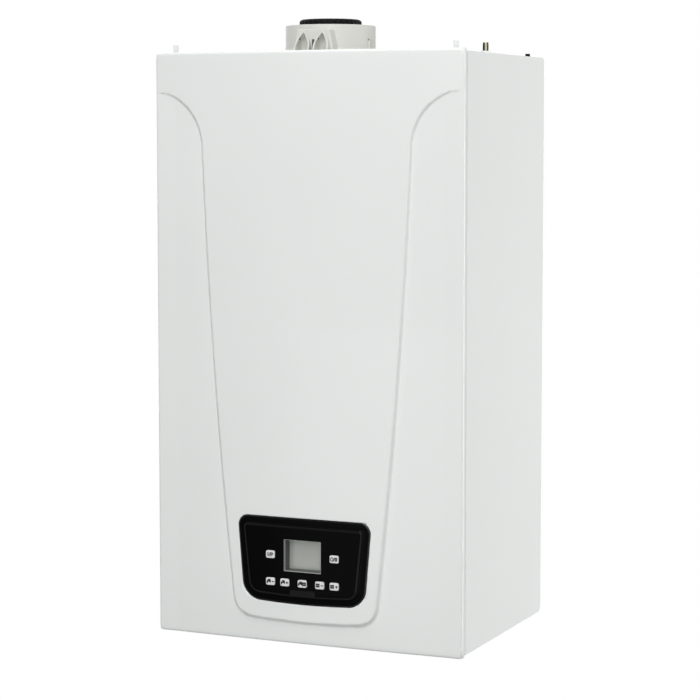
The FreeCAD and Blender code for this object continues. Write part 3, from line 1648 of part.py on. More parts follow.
def condensate_hoses():
    """Hose from the exchanger into the trap, and from the trap out through the floor."""
    trap_top = foot + trap_low + trap_height
    upper = tube(outlet_radius(), trap_neck_radius,
                 Vector(drain_x, shell_y, trap_top + trap_neck - hose_overlap),
                 Vector(drain_x, shell_y, drain_z - trap_neck + hose_overlap))
    points = [Vector(drain_x, shell_y, foot + trap_low - trap_neck + hose_overlap)]
    points += [Vector(drain_x, shell_y, foot + hose_jog_top),
               Vector(outlet_x, -outlet_setback, foot + hose_jog_foot)]
    points.append(Vector(outlet_x, -outlet_setback, foot - outlet_drop))
    cuff_top = Vector(outlet_x, -outlet_setback, foot - outlet_cuff_gap)
    cuff = tube(outlet_radius() + outlet_cuff, trap_neck_radius, points[-1], cuff_top)
    lower = joined([bent_pipe(points, hose_bend, outlet_radius(), trap_neck_radius), cuff])
    return Part.makeCompound([upper, lower])


def build():
    """Every piece by the name of its node."""
    pieces = {
        "front_panel": front_panel(),
        "panel_pad": panel_pad(),
        "rear_frame": rear_frame(),
        "left_side_panel": side_panel(-1),
        "right_side_panel": side_panel(1),
        "top_plate": top_plate(),
        "bottom_plate": bottom_plate(),
        "chamber_gasket": chamber_gasket(),
        "fasteners": fasteners(),
        "hinge_brackets": hinge_brackets(),
        "control_shell": control_shell(),
        "control_cover": control_cover(),
        "display_frame": display_frame(),
        "display_screen": display_screen(),
        "circuit_board": circuit_board(),
        "service_cover": service_cover(),
        "flue_adapter": flue_adapter(),
        "flue_seal": flue_seal(),
        "sampling_plugs": sampling_plugs(),
        "flue_duct": flue_duct(),
        "air_vent": air_vent(),
        "grommets": grommets(),
        "expansion_vessel": expansion_vessel(),
        "vessel_pipe": vessel_pipe(),
        "exchanger_shell": exchanger_shell(),
        "exchanger_coil": exchanger_coil(),
        "burner_door": burner_door(),
        "burner_tube": burner_tube(),
        "electrodes": electrodes(),
        "mixture_duct": mixture_duct(),
        "fan_housing": fan_housing(),
        "fan_motor": fan_motor(),
        "fan_impeller": fan_impeller(),
        "gas_mixer": gas_mixer(),
        "gas_valve": gas_valve(),
        "gas_pipe": gas_pipe(),
        "connection_stubs": connection_stubs(),
        "flow_manifold": flow_manifold(),
        "diverter_motor": diverter_motor(),
        "diverter_spindle": diverter_spindle(),
        "return_manifold": return_manifold(),
        "pump_motor": pump_motor(),
        "pump_impeller": pump_impeller(),
        "plate_exchanger": plate_exchanger(),
        "safety_valve": safety_valve(),
        "safety_knob": safety_knob(),
        "filling_knob": tap_knob(1),
        "drain_knob": tap_knob(-1),
        "return_pipe": return_pipe(),
        "flow_pipe": flow_pipe(),
        "condensate_trap": condensate_trap(),
        "condensate_hoses": condensate_hoses(),
    }
    for name, (x, z) in button_places().items():
        pieces[name] = button(x, z)
    return pieces


def main():
    """Write one file for each piece."""
    os.makedirs("parts", exist_ok=True)
    for name, shape in build().items():
        shape.exportStep("parts/" + name + ".step")


main()
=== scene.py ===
import cmath
import json
import math
from contextlib import contextmanager

import bpy
import numpy as np
from bpy.props import FloatProperty, FloatVectorProperty, PointerProperty
from bpy.types import Operator, PropertyGroup
from mathutils import Euler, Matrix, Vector

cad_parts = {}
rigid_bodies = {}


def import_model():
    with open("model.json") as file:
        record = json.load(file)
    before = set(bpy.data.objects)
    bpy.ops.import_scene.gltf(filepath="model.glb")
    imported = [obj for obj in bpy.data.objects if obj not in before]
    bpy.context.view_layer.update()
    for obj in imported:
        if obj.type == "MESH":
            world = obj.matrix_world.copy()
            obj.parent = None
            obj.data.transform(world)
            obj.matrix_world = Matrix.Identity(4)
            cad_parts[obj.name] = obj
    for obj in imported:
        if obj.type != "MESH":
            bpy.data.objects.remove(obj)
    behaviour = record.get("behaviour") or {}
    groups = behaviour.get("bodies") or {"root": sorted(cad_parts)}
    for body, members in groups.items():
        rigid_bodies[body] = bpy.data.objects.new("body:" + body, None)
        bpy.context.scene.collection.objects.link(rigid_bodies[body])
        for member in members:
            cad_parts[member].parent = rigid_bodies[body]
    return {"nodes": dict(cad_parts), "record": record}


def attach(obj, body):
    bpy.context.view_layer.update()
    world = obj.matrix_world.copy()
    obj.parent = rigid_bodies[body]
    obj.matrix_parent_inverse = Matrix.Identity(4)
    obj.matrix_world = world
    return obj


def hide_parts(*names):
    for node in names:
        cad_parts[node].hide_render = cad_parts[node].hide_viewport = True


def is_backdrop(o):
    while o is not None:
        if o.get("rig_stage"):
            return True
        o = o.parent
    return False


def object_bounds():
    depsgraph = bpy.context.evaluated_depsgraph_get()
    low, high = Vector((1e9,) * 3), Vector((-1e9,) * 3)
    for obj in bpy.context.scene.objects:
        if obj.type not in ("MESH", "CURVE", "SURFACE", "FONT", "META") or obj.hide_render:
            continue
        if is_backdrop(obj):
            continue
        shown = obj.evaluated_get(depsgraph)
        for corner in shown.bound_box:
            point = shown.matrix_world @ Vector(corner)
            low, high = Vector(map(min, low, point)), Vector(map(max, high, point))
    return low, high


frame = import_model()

bl_info = {
    "name": "Wall-hung boiler",
    "version": (1, 0, 0),
    "blender": (4, 5, 0),
    "location": "View3D > Sidebar > Boiler",
    "description": "Builds the looks of a wall-hung heating boiler round its packed frame",
    "category": "Add Mesh",
}

MM = 0.001
FULL_TURN = 2 * math.pi


def length(name, description, default):
    """Property that holds a length in metres."""
    return FloatProperty(name=name, description=description, default=default, unit="LENGTH")


def halves(name, description, default):
    """Property that holds half a width and half a height."""
    return FloatVectorProperty(name=name, description=description, size=2, default=default, unit="LENGTH")


class BoilerPanelSettings(PropertyGroup):
    """Sizes of the front panel."""
    half_width: length("Half width", "Half the casing's width", 0.1975)
    top: length("Top", "Height of the panel's top", 0.05)
    foot: length("Foot", "Height of the panel's foot", -0.65)
    edge: length("Edge plane", "Depth of the front's side edges", -0.277)
    back: length("Return", "Depth of the returns' rear edge", -0.267)
    hem: length("Hem", "Depth of the top return's hem", -0.247)
    sole: length("Sole", "Depth of the foot return's rear edge", -0.252)
    flank_bow: length("Flank bow", "Bow of the flanks", 0.004)
    flank_drop: length("Flank drop", "Setback of the flanks", 0.0012)
    shield_bow: length("Middle bow", "Bow of the raised middle", 0.008)
    edge_radius: length("Edge radius", "Rounding of the edges", 0.003)
    sheet: length("Sheet", "Thickness of the sheet", 0.001)
    step_out: length("Step outside", "Reach of the step outside its line", 0.0036)
    step_in: length("Step inside", "Reach of the step inside its line", 0.0011)
    step_full: length("Full step", "Height of the step at its full reach", 0.0043)
    inset: length("Return inset", "How far the returns stop short of the sides", 0.01)
    hook_x: length("Hook slots", "Distance of the hook slots from the middle", 0.18)
    screw_x: length("Screw notches", "Distance of the screw notches from the middle", 0.12)
    opening_gap: length("Opening gap", "Gap between the fascia and its opening", 0.0004)


class BoilerFasciaSettings(PropertyGroup):
    """Sizes of the control fascia."""
    low: length("Foot", "Height of the fascia's foot", -0.6012)
    height: length("Height", "Height of the fascia", 0.1027)
    top_width: length("Top width", "Width at the top", 0.1732)
    foot_width: length("Foot width", "Width at the foot", 0.1567)
    sag: length("Sag", "How far the foot is bowed down", 0.003)
    top_radius: length("Top radius", "Rounding of the upper corners", 0.0125)
    foot_radius: length("Foot radius", "Rounding of the lower corners", 0.022)
    front: length("Rim", "Depth of the rim's front", -0.284)
    face: length("Face", "Depth of the raised face", -0.2878)
    base: length("Base", "Depth of the plate behind", -0.268)
    plate: length("Plate", "Height of the rear plate's middle", -0.557)
    plate_half: halves("Plate size", "Half the width and height of the rear plate", (0.15, 0.065))
    window: length("Window", "Height of the display's middle", -0.543)
    window_half: halves("Window size", "Half the width and height of the display", (0.024, 0.019))
    button_half: halves("Button", "Half the width and height of a button", (0.00575, 0.0045))
    cover_low: length("Flap", "Height of the flap's lower edge", -0.5913)
    cover_half: halves("Flap size", "Half the width and height of the flap", (0.0165, 0.004))


class BoilerFlueSettings(PropertyGroup):
    """Sizes of the flue adapter."""
    x: length("Across", "Place of the axis across the boiler", -0.03)
    y: length("Depth", "Place of the axis from front to back", -0.139)
    base: length("Base", "Height of the top plate", 0.047)
    top: length("Top", "Height of the sockets' rims", 0.085)
    radius: length("Radius", "Radius of the outer socket", 0.055)
    wall: length("Wall", "Wall of the outer socket", 0.0026)
    flange_radius: length("Flange", "Radius of the flange", 0.0615)
    ear_radius: length("Ears", "Distance of the ears from the axis", 0.0665)
    socket_radius: length("Inner bore", "Radius of the inner socket's bore", 0.0303)
    seal_radius: length("Seal", "Radius of the seal", 0.038)
    seal_top: length("Seal top", "Height of the seal", 0.092)
    port_front: length("Port face", "Depth of the ports' block", -0.201)
    port_half: length("Port block", "Half the width of the ports' block", 0.0213)
    port_shift: length("Port shift", "Shift of the ports from the axis", 0.0052)
    port_pitch: length("Port pitch", "Distance of the ports", 0.0245)
    port_slant: FloatProperty(name="Port slant", description="How far the hoods slant forward", default=0.36)


class BoilerStageSettings(PropertyGroup):
    """Camera, lights and background."""
    place: FloatVectorProperty(name="Camera", description="Where the camera stands", subtype="TRANSLATION",
                               default=(1.09174, -2.6226, -0.05096))
    tilt: FloatProperty(name="Tilt", description="How far the camera looks down", default=0.08445, subtype="ANGLE")
    turn: FloatProperty(name="Turn", description="How far it looks to the left", default=0.41555, subtype="ANGLE")
    lens: FloatProperty(name="Lens", description="Focal length in millimetres", default=113.94)
    rise: FloatProperty(name="Rise", description="Vertical shift of the picture", default=-0.0357)
    fill: FloatProperty(name="Fill", description="Strength of the light from all round", default=0.17, min=0)
    power: FloatProperty(name="Light", description="Strength of all lights together", default=1, min=0)
    floor: length("Floor", "Height of the floor", -5)
    floor_size: length("Floor size", "Width of the floor", 40)


def overload(operation):
    """Methods for an operator and for its reflection."""
    return (lambda self, other: self.math(operation, self, other),
            lambda self, other: self.math(operation, other, self))


class Wire:
    """A shader socket that arithmetic can be written with."""
    __add__, __radd__ = overload("ADD")
    __sub__, __rsub__ = overload("SUBTRACT")
    __mul__, __rmul__ = overload("MULTIPLY")
    __truediv__, __rtruediv__ = overload("DIVIDE")
    __pow__, __rpow__ = overload("POWER")

    def __init__(self, shade, socket):
        self.shade, self.socket = shade, socket

    def math(self, operation, first, second):
        return self.shade.node("ShaderNodeMath", {"operation": operation}, {0: first, 1: second})

    def __abs__(self):
        return self.math("ABSOLUTE", self, 0)


class Shade:
    """A node tree that wires are drawn in."""

    def __init__(self, tree):
        self.tree = tree

    def node(self, kind, settings, sockets, output=0):
        made = self.tree.nodes.new(kind)
        for name, value in settings.items():
            setattr(made, name, value)
        for name, value in sockets.items():
            self.put(made.inputs[name], value)
        return Wire(self, made.outputs[output])

    def put(self, socket, value):
        if isinstance(value, Wire):
            self.tree.links.new(value.socket, socket)
        else:
            socket.default_value = value

    def seen(self):
        """One where a ray comes from the camera, a reflection or a clear piece."""
        camera, glossy, clear = [self.node("ShaderNodeLightPath", {}, {}, f"Is {kind} Ray")
                                 for kind in ("Camera", "Glossy", "Transmission")]
        return camera.math("MINIMUM", camera + glossy + clear, 1)


class Finish(Shade):
    """A material with its principled shader, kept by its name."""

    def __init__(self, name):
        material = MATERIALS[name] = bpy.data.materials.new(name)
        material.use_nodes = True
        super().__init__(material.node_tree)
        self.shader = self.tree.nodes["Principled BSDF"]
        self.place = self.node("ShaderNodeTexCoord", {}, {}, "Object")

    def set(self, **values):
        for name, value in values.items():
            self.put(self.shader.inputs[name.replace("_", " ").title().replace("Ior", "IOR")], value)

    def axis(self, name):
        return self.node("ShaderNodeSeparateXYZ", {}, {"Vector": self.place}, name)

    def noise(self, scale, detail=3, rough=0.5, stretch=None):
        place = self.place
        if stretch:
            place = self.node("ShaderNodeMapping", {}, {"Vector": place, "Scale": stretch})
        sockets = {"Vector": place, "Scale": scale, "Detail": detail, "Roughness": rough}
        return self.node("ShaderNodeTexNoise", {}, sockets)

    def cells(self, scale):
        return self.node("ShaderNodeTexVoronoi", {}, {"Vector": self.place, "Scale": scale}, "Color")

    def blend(self, share, low, high):
        return self.node("ShaderNodeMix", {"data_type": "RGBA"}, {0: share, 6: (*low, 1), 7: (*high, 1)}, 2)

    def ramp(self, value, start, end):
        return self.node("ShaderNodeMapRange", {}, {"Value": value, "From Min": start, "From Max": end})

    def bump(self, height, strength, distance):
        return self.node("ShaderNodeBump", {}, {"Height": height, "Strength": strength, "Distance": distance})


def mm(rows, *start):
    """Rows of millimetres as metres, counted from a start."""
    return np.array(rows) * MM + (start or 0)


def deselect():
    """Leaves nothing selected, in object mode."""
    if bpy.context.object and bpy.context.object.mode != "OBJECT":
        bpy.ops.object.mode_set(mode="OBJECT")
    bpy.ops.object.select_all(action="DESELECT")


def pick(*pieces):
    """Selects just these pieces, the first of them active."""
    deselect()
    for piece in pieces:
        piece.select_set(True)
    bpy.context.view_layer.objects.active = pieces[0]


@contextmanager
def edit_mode(action=None):
    """Stays in edit mode while the block runs, with all points or none selected first."""
    bpy.ops.object.mode_set(mode="EDIT")
    if action:
        bpy.ops.mesh.select_mode(type="VERT")
        bpy.ops.mesh.select_all(action=action)
    yield
    bpy.ops.object.mode_set(mode="OBJECT")


def smooth(angle):
    """Smooths all edges that bend by less than an angle in degrees."""
    bpy.ops.object.shade_smooth_by_angle(angle=math.radians(angle))


def places_of(piece):
    """A mesh's points as rows of three."""
    flat = np.zeros(len(piece.data.vertices) * 3)
    piece.data.vertices.foreach_get("co", flat)
    return flat.reshape(-1, 3)


def move_points(piece, points):
    """Sets a mesh's points."""
    piece.data.vertices.foreach_set("co", np.asarray(points, float).ravel())
    piece.data.update()


def choose(piece, rows):
    """Selects just these points of a mesh."""
    with edit_mode("DESELECT"):
        pass
    flags = np.zeros(len(piece.data.vertices), bool)
    flags[rows] = True
    piece.data.vertices.foreach_set("select", flags)


def loft(name, rows, ring=False, angle=35):
    """Skin over closed rows of points: a circle's edge extruded once a row, then set in place."""
    rows = np.asarray(rows, float)
    count, points = rows.shape[:2]
    deselect()
    bpy.ops.mesh.primitive_circle_add(vertices=points, radius=1, fill_type="NOTHING")
    with edit_mode("SELECT"):
        for _ in range(count - 1):
            bpy.ops.mesh.extrude_edges_indiv()
    piece = bpy.context.object
    piece.name = name
    start = places_of(piece)
    turn = np.arctan2(start[:, 1], start[:, 0])
    index = np.rint((turn - turn[0]) / FULL_TURN * points).astype(int) % points
    row = np.arange(len(start)) // points
    move_points(piece, rows[row, index])
    if ring:
        choose(piece, (row == 0) | (row == count - 1))
        with edit_mode():
            bpy.ops.mesh.bridge_edge_loops()
    else:
        for level in (0, count - 1):
            choose(piece, row == level)
            with edit_mode():
                bpy.ops.mesh.edge_face_add()
    with edit_mode("SELECT"):
        bpy.ops.mesh.normals_make_consistent(inside=False)
    smooth(angle)
    return piece


def sheet(name, points):
    """Skin over a grid of points, rows by columns."""
    rows, columns = points.shape[:2]
    deselect()
    bpy.ops.mesh.primitive_grid_add(x_subdivisions=columns - 1, y_subdivisions=rows - 1, size=2)
    piece = bpy.context.object
    piece.name = name
    start = places_of(piece)
    column = np.rint((start[:, 0] + 1) / 2 * (columns - 1)).astype(int)
    row = np.rint((start[:, 1] + 1) / 2 * (rows - 1)).astype(int)
    move_points(piece, points[row, column])
    return piece


def box(name, low, high, bevel=0):
    """Block between two corners, its edges rounded."""
    low, high = Vector(low), Vector(high)
    deselect()
    bpy.ops.mesh.primitive_cube_add(size=1, location=(low + high) / 2, scale=high - low)
    bpy.ops.object.transform_apply(location=True, rotation=True, scale=True)
    piece = bpy.context.object
    piece.name = name
    if bevel:
        change(piece, "BEVEL", width=bevel, segments=2, limit_method="NONE")
        smooth(40)
    return piece


def rod(name, start, end, radius, points=32):
    """Round bar between two points."""
    start, end = Vector(start), Vector(end)
    turn = (end - start).to_track_quat("Z", "Y").to_euler()
    deselect()
    bpy.ops.mesh.primitive_cylinder_add(vertices=points, radius=radius, depth=(end - start).length,
                                        location=(start + end) / 2, rotation=turn)
    bpy.ops.object.transform_apply(location=True, rotation=True, scale=True)
    bpy.context.object.name = name
    smooth(40)
    return bpy.context.object


def change(piece, kind, **settings):
    """Adds a modifier and applies it."""
    pick(piece)
    modifier = piece.modifiers.new(kind.lower(), kind)
    for name, value in settings.items():
        setattr(modifier, name, value)
    bpy.ops.object.modifier_apply(modifier=modifier.name)


def carve(piece, cutters, angle=None):
    """Cuts other pieces out of a piece, removes them and smooths what is left."""
    for cutter in cutters:
        change(piece, "BOOLEAN", operation="DIFFERENCE", solver="EXACT", object=cutter)
        pick(cutter)
        bpy.ops.object.delete()
    pick(piece)
    if angle:
        smooth(angle)


def gather(pieces, name):
    """Joins pieces into one object."""
    pick(*pieces)
    bpy.ops.object.join()
    pieces[0].name = name
    return pieces[0]


def dress(piece, body, slot, *nodes):
    """Gives a piece its finish and the body that it rides on, and hides the nodes that it stands for."""
    piece.data.materials.clear()
    piece.data.materials.append(MATERIALS[slot])
    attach(piece, body)
    slot if slot in SLOTS else "dark_plastic"
    if nodes:
        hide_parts(*nodes)
    return piece


def even_shading(piece):
    """Shades the large faces flat and leaves the bend to the rounded edges."""
    change(piece, "WEIGHTED_NORMAL", weight=100, keep_sharp=True)


def soften(node, width, segments=2, angle=35):
    """Copy of a node with rounded edges, in its place."""
    pick(frame["nodes"][node])
    bpy.ops.object.duplicate()
    piece = bpy.context.object
    piece.name = node + "_look"
    bpy.ops.object.parent_clear(type="CLEAR_KEEP_TRANSFORM")
    for key in [key for key in piece.keys() if key.startswith("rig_")]:
        del piece[key]
    with edit_mode("SELECT"):
        bpy.ops.mesh.remove_doubles(threshold=1e-6)
        bpy.ops.mesh.dissolve_limited(angle_limit=math.radians(0.2))
    change(piece, "BEVEL", width=width, segments=segments, limit_method="ANGLE",
           angle_limit=math.radians(angle), use_clamp_overlap=True, harden_normals=False)
    smooth(angle)
    even_shading(piece)
    slot = next(part["material_slot"] for part in frame["record"]["subparts"] if part["node"] == node)
    body = next(name for name, nodes in frame["record"]["behaviour"]["bodies"].items() if node in nodes)
    return dress(piece, body, slot, node)


def arc3(first, middle, last, count):
    """Points along the arc through three points of a plane."""
    a, b, c = [complex(*spot) for spot in (first, middle, last)]
    ratio = (c - a) / (b - a)
    centre = a - (a - b) * (ratio - abs(ratio) ** 2) / 2j / ratio.imag
    passing, sweep = [cmath.phase((spot - centre) / (a - centre)) % FULL_TURN for spot in (b, c)]
    if passing > sweep:
        sweep -= FULL_TURN
    points = centre + (a - centre) * np.exp(1j * sweep * np.linspace(0, 1, count))
    return np.stack([points.real, points.imag], 1)


def unit(way):
    """A direction of length one."""
    return way / np.linalg.norm(way)


def rounded_rows(corners, radii, per_arc, per_edge):
    """Closed outline in a plane with rounded corners, evenly indexed whatever its size."""
    corners = np.array(corners, float)
    arcs = []
    for before, here, after, radius in zip(np.roll(corners, 1, 0), corners, np.roll(corners, -1, 0), radii):
        come, leave = unit(here - before), unit(after - here)
        bend = math.acos(max(-1, min(1, float(come @ leave))))
        reach = radius * math.tan(bend / 2)
        centre = here + unit(leave - come) * radius / math.cos(bend / 2)
        first, last = here - come * reach - centre, here + leave * reach - centre
        share = np.linspace(0, 1, per_arc)[:, None]
        arcs.append(centre + (first * np.sin(bend * (1 - share)) + last * np.sin(bend * share)) / math.sin(bend))
    outline = []
    for arc, following in zip(arcs, arcs[1:] + arcs[:1]):
        share = np.linspace(0, 1, per_edge + 2)[1:-1, None]
        outline += [arc, arc[-1] * (1 - share) + following[0] * share]
    return np.concatenate(outline)


def at_depth(outline, y):
    """Outline of widths and heights as points at a depth."""
    return np.stack([outline[:, 0], np.full(len(outline), float(y)), outline[:, 1]], 1)


def rectangle(x, z, half_x, half_z, radii, y, per_arc, per_edge):
    """Upright rectangle of points with rounded corners, at a depth."""
    corners = [(x - half_x, z + half_z), (x + half_x, z + half_z), (x + half_x, z - half_z), (x - half_x, z - half_z)]
    return at_depth(rounded_rows(corners, radii, per_arc, per_edge), y)


def rounded_block(name, x, z, half_x, half_z, radius, levels):
    """Block with a rounded outline, from rows of inset and depth, front last."""
    return loft(name, [rectangle(x, z, half_x - inset, half_z - inset, [max(0.0002, radius - inset)] * 4, y, 8, 4)
                       for inset, y in levels])


def turns_of(points):
    """Angles of points spread evenly round a circle."""
    return np.linspace(0, FULL_TURN, points, endpoint=False)


def circle(centre, radius, z, points):
    """Level ring of points, with one radius or a radius for each point."""
    turn = turns_of(points)
    return np.stack([centre[0] + radius * np.cos(turn), centre[1] + radius * np.sin(turn), np.full(points, z)], 1)


def waved_rings(centre, rows, waves, per_wave, power):
    """Level rings that swell in even waves, from rows of radius, swell and height."""
    points = waves * per_wave
    wave = (0.5 + 0.5 * np.cos(turns_of(points) * waves)) ** power
    return [circle(centre, radius + swell * wave, z, points) for radius, swell, z in rows]


def way_of(degrees):
    """Level direction at an angle from the X axis."""
    return Vector((math.cos(math.radians(degrees)), math.sin(math.radians(degrees)), 0))


def lift(z):
    """Upright step."""
    return Vector((0, 0, z))


MATERIALS = {}
SLOTS = [finish["slot"] for finish in frame["record"]["materials"]]


def painted(name, low, high, roughness, grain, peel=0, coat=0, gloss=0.5):
    """Paint or plastic with a slight change of tone and gloss and a fine texture."""
    shade = Finish(name)
    broad = shade.noise(6, 2)
    shade.set(base_color=shade.blend(broad, low, high), roughness=roughness - 0.03 + broad * 0.06,
              coat_weight=coat, specular_ior_level=gloss)
    if peel:
        shade.set(normal=shade.bump(shade.noise(grain, 2), peel, 0.0002))


def metal(name, low, high, roughness, grain, peel=0.08, stretch=None):
    """Bare metal with a grain that changes its tone and gloss."""
    shade = Finish(name)
    streak = shade.noise(grain, 4, 0.6, stretch)
    stain = shade.noise(22, 4)
    shade.set(base_color=shade.blend(stain, low, high), metallic=1,
              roughness=roughness - 0.08 + streak * 0.1 + stain * 0.08, normal=shade.bump(streak, peel, 0.0003))


def black_gloss():
    """Black gloss that reflects most on the fascia's rounded rims."""
    shade = Finish("black_gloss")
    depth = shade.axis("Y")
    edge = shade.ramp(depth, -0.28445, -0.28465) * shade.ramp(depth, -0.28776, -0.2875)
    rim = shade.ramp(depth, -0.28396, -0.2837) + edge * 0.3
    tone = shade.blend(shade.noise(6), (0.0009, 0.0009, 0.001), (0.0014, 0.0014, 0.0016))
    shade.set(base_color=tone, roughness=0.12 + shade.noise(40) * 0.06, specular_ior_level=0.02,
              coat_weight=rim * 0.8, coat_roughness=0.06, coat_ior=1.5)


def frame_grey():
    """Grey that is pale on the display frame's front lip, with painted shade making it dark behind the lip, down the
    recessed walls.
    """
    shade = Finish("frame_grey")
    # Painted shade: the colour turns dark deeper than the lip, where the display's recess is in shade.
    lip = shade.ramp(shade.axis("Y"), -0.2843, -0.2851) * (0.9 + shade.noise(300) * 0.2)
    shade.set(base_color=shade.blend(lip, (0.075, 0.078, 0.075), (0.36, 0.37, 0.355)), roughness=0.3 + lip * 0.1)


def aged_brass():
    """Dark brass with a painted reflection: near black at the sides and bright in a streak down the side that faces the
    camera.
    """
    shade = Finish("aged_brass")
    # Painted reflection: the base colour is bright where the cap faces the camera and dark towards its sides, in place
    # of what it would mirror.
    side = abs((shade.axis("X") - VENT[0]) * 0.91 + (shade.axis("Y") - VENT[1]) * 0.41)
    painted_glint = shade.ramp(side, 0.0024, 0) ** 1.8 * (0.8 + shade.noise(260) * 0.4)
    shade.set(base_color=shade.blend(painted_glint, (0.004, 0.0035, 0.002), (0.62, 0.58, 0.42)), metallic=0.85,
              roughness=0.3 + painted_glint * 0.1)


def zinc_sheet():
    """Zinc-coated sheet with its spangle."""
    shade = Finish("zinc_sheet")
    shade.set(base_color=shade.blend(shade.cells(160), (0.5, 0.51, 0.52), (0.66, 0.67, 0.68)), metallic=0.9,
              roughness=0.36 + shade.noise(14) * 0.16)


def make_materials():
    """All finishes, by the name of their slot."""
    painted("white_paint", (0.8, 0.82, 0.805), (0.83, 0.85, 0.835), 0.33, 420, 0.03, 0.15)
    painted("foam", (0.055, 0.055, 0.06), (0.085, 0.085, 0.09), 0.95, 700, 0.8)
    painted("black_rubber", (0.005, 0.005, 0.005), (0.009, 0.009, 0.009), 0.4, 900, 0.15, 0, 0.05)
    painted("grey_plastic", (0.585, 0.585, 0.55), (0.63, 0.63, 0.594), 0.48, 1200, 0.06)
    painted("flap_black", (0.0055, 0.0055, 0.0057), (0.007, 0.007, 0.0073), 0.3, 300, 0, 0, 0.06)
    painted("dark_plastic", (0.045, 0.045, 0.048), (0.06, 0.06, 0.064), 0.5, 1400, 0.15)
    painted("button_white", (0.74, 0.74, 0.735), (0.79, 0.79, 0.785), 0.4, 1500, 0.05)
    painted("screen_glass", (0.33, 0.355, 0.315), (0.37, 0.39, 0.355), 0.22, 600, 0, 0.2)
    painted("board_green", (0.015, 0.11, 0.045), (0.03, 0.16, 0.07), 0.4, 500, 0.1, 0.2)
    painted("red_paint", (0.42, 0.03, 0.025), (0.5, 0.045, 0.035), 0.35, 380, 0.06, 0.2)
    painted("black_paint", (0.03, 0.03, 0.032), (0.045, 0.045, 0.048), 0.45, 500, 0.15)
    painted("ceramic", (0.78, 0.76, 0.7), (0.84, 0.82, 0.77), 0.55, 900, 0.1)
    painted("mark_ink", (0.008, 0.008, 0.009), (0.014, 0.014, 0.015), 0.6, 600, 0, 0, 0.15)
    metal("steel", (0.52, 0.52, 0.53), (0.62, 0.62, 0.63), 0.36, 400)
    metal("stainless", (0.58, 0.58, 0.57), (0.68, 0.68, 0.67), 0.3, 260, 0.05, (0.04, 1, 1))
    metal("cast_aluminium", (0.52, 0.52, 0.53), (0.62, 0.62, 0.63), 0.52, 700, 0.35)
    metal("brass", (0.66, 0.46, 0.18), (0.76, 0.56, 0.25), 0.34, 300, 0.06)
    metal("copper", (0.68, 0.33, 0.2), (0.8, 0.42, 0.27), 0.3, 200, 0.04, (1, 1, 0.05))
    for special in (black_gloss, frame_grey, aged_brass, zinc_sheet):
        special()


class BOILER_OT_frame_finish(Operator):
    """Gives every node of the frame its finish"""
    bl_idname = "boiler.frame_finish"
    bl_label = "Frame finish"

    def execute(self, context):
        make_materials()
        for part in frame["record"]["subparts"]:
            node = frame["nodes"][part["node"]]
            node.data.materials.clear()
            node.data.materials.append(MATERIALS[part["material_slot"]])
        return {"FINISHED"}


# The raised middle's outline from its end at the side down to the foot, as shares of half the width and the height.
SHIELD = ((1, 0.9371), (0.9129, 0.9296), (0.7408, 0.8943), (0.6749, 0.8371), (0.6046, 0.4929), (0.4937, 0.1429),
          (0.4689, 0.0757), (0.4278, 0.0521), (0.3392, 0.0423), (0, 0.039))
SHIELD_PAST = 0.02
# Start and spacing of each run of the face's columns and rows in millimetres, from the middle and from the foot.
COLUMNS = ((0, 4.5), (81, 1.4), (152, 1.6))
ROWS = ((18, 1.4), (62, 4.8), (584, 1.5), (662, 4.5))
FIRST_ROWS = 0.0042


def shield_line(form):
    """Outline of the front's raised middle, from its right end round the foot to its left end."""
    edge, arc_top, arc, arc_low, waist, waist_low, corner, bend, end, foot = [
        (across * form.half_width, form.foot + up * (form.top - form.foot)) for across, up in SHIELD]
    line = np.concatenate([
        [(form.half_width + SHIELD_PAST, edge[1]), arc_top], arc3(arc_top, arc, arc_low, 40),
        arc3(arc_low, waist, waist_low, 90), [waist_low, corner], arc3(corner, bend, end, 16),
        arc3(end, foot, (-end[0], end[1]), 40)[:20]])
    return np.concatenate([line, line[::-1] * [-1, 1]])


def shield_gap(form, x, z):
    """Distance inwards from the raised middle's outline, negative outside it."""
    line = shield_line(form)
    points = np.stack([x, z], 1)
    best = np.full(len(points), np.inf)
    for start, end in zip(line[:-1], line[1:]):
        way = end - start
        square = way @ way
        if square > 1e-14:
            share = np.clip(((points - start) @ way) / square, 0, 1)
            best = np.minimum(best, np.linalg.norm(points - start - share[:, None] * way, axis=1))
    wide, high = form.half_width + SHIELD_PAST, form.top + 0.05
    closed = np.concatenate([line, [[-wide, high], [wide, high]]])
    inside = np.zeros(len(points), bool)
    for (ax, az), (bx, bz) in zip(closed, np.roll(closed, -1, 0)):
        if az != bz:
            crosses = (az > z) != (bz > z)
            inside ^= crosses & (x < (bx - ax) * (z - az) / (bz - az) + ax)
    return np.where(inside, best, -best)


def front_depth(form, x, z):
    """Depth of the front's face: two bows, with a soft step between them."""
    bow = np.clip(1 - (x / form.half_width) ** 2, 0, 1)
    flank = form.flank_drop * np.clip(bow * 4, 0, 1) - form.flank_bow * bow
    raised = -form.shield_bow * bow
    size = np.clip((flank - raised) / form.step_full, 0.3, 1)
    share = np.clip((shield_gap(form, x, z) / size + form.step_out) / (form.step_out + form.step_in), 0, 1)
    step = 1 - (1 - share ** 2) ** 1.5
    return form.edge + flank + (raised - flank) * step


def spaced(stops):
    """Values from stop to stop, each run at its own spacing."""
    values = [stops[0][0]]
    for (start, step), (end, _) in zip(stops, stops[1:]):
        count = max(1, round((end - start) / step))
        values += list(np.linspace(start, end, count + 1)[1:])
    return np.array(values)


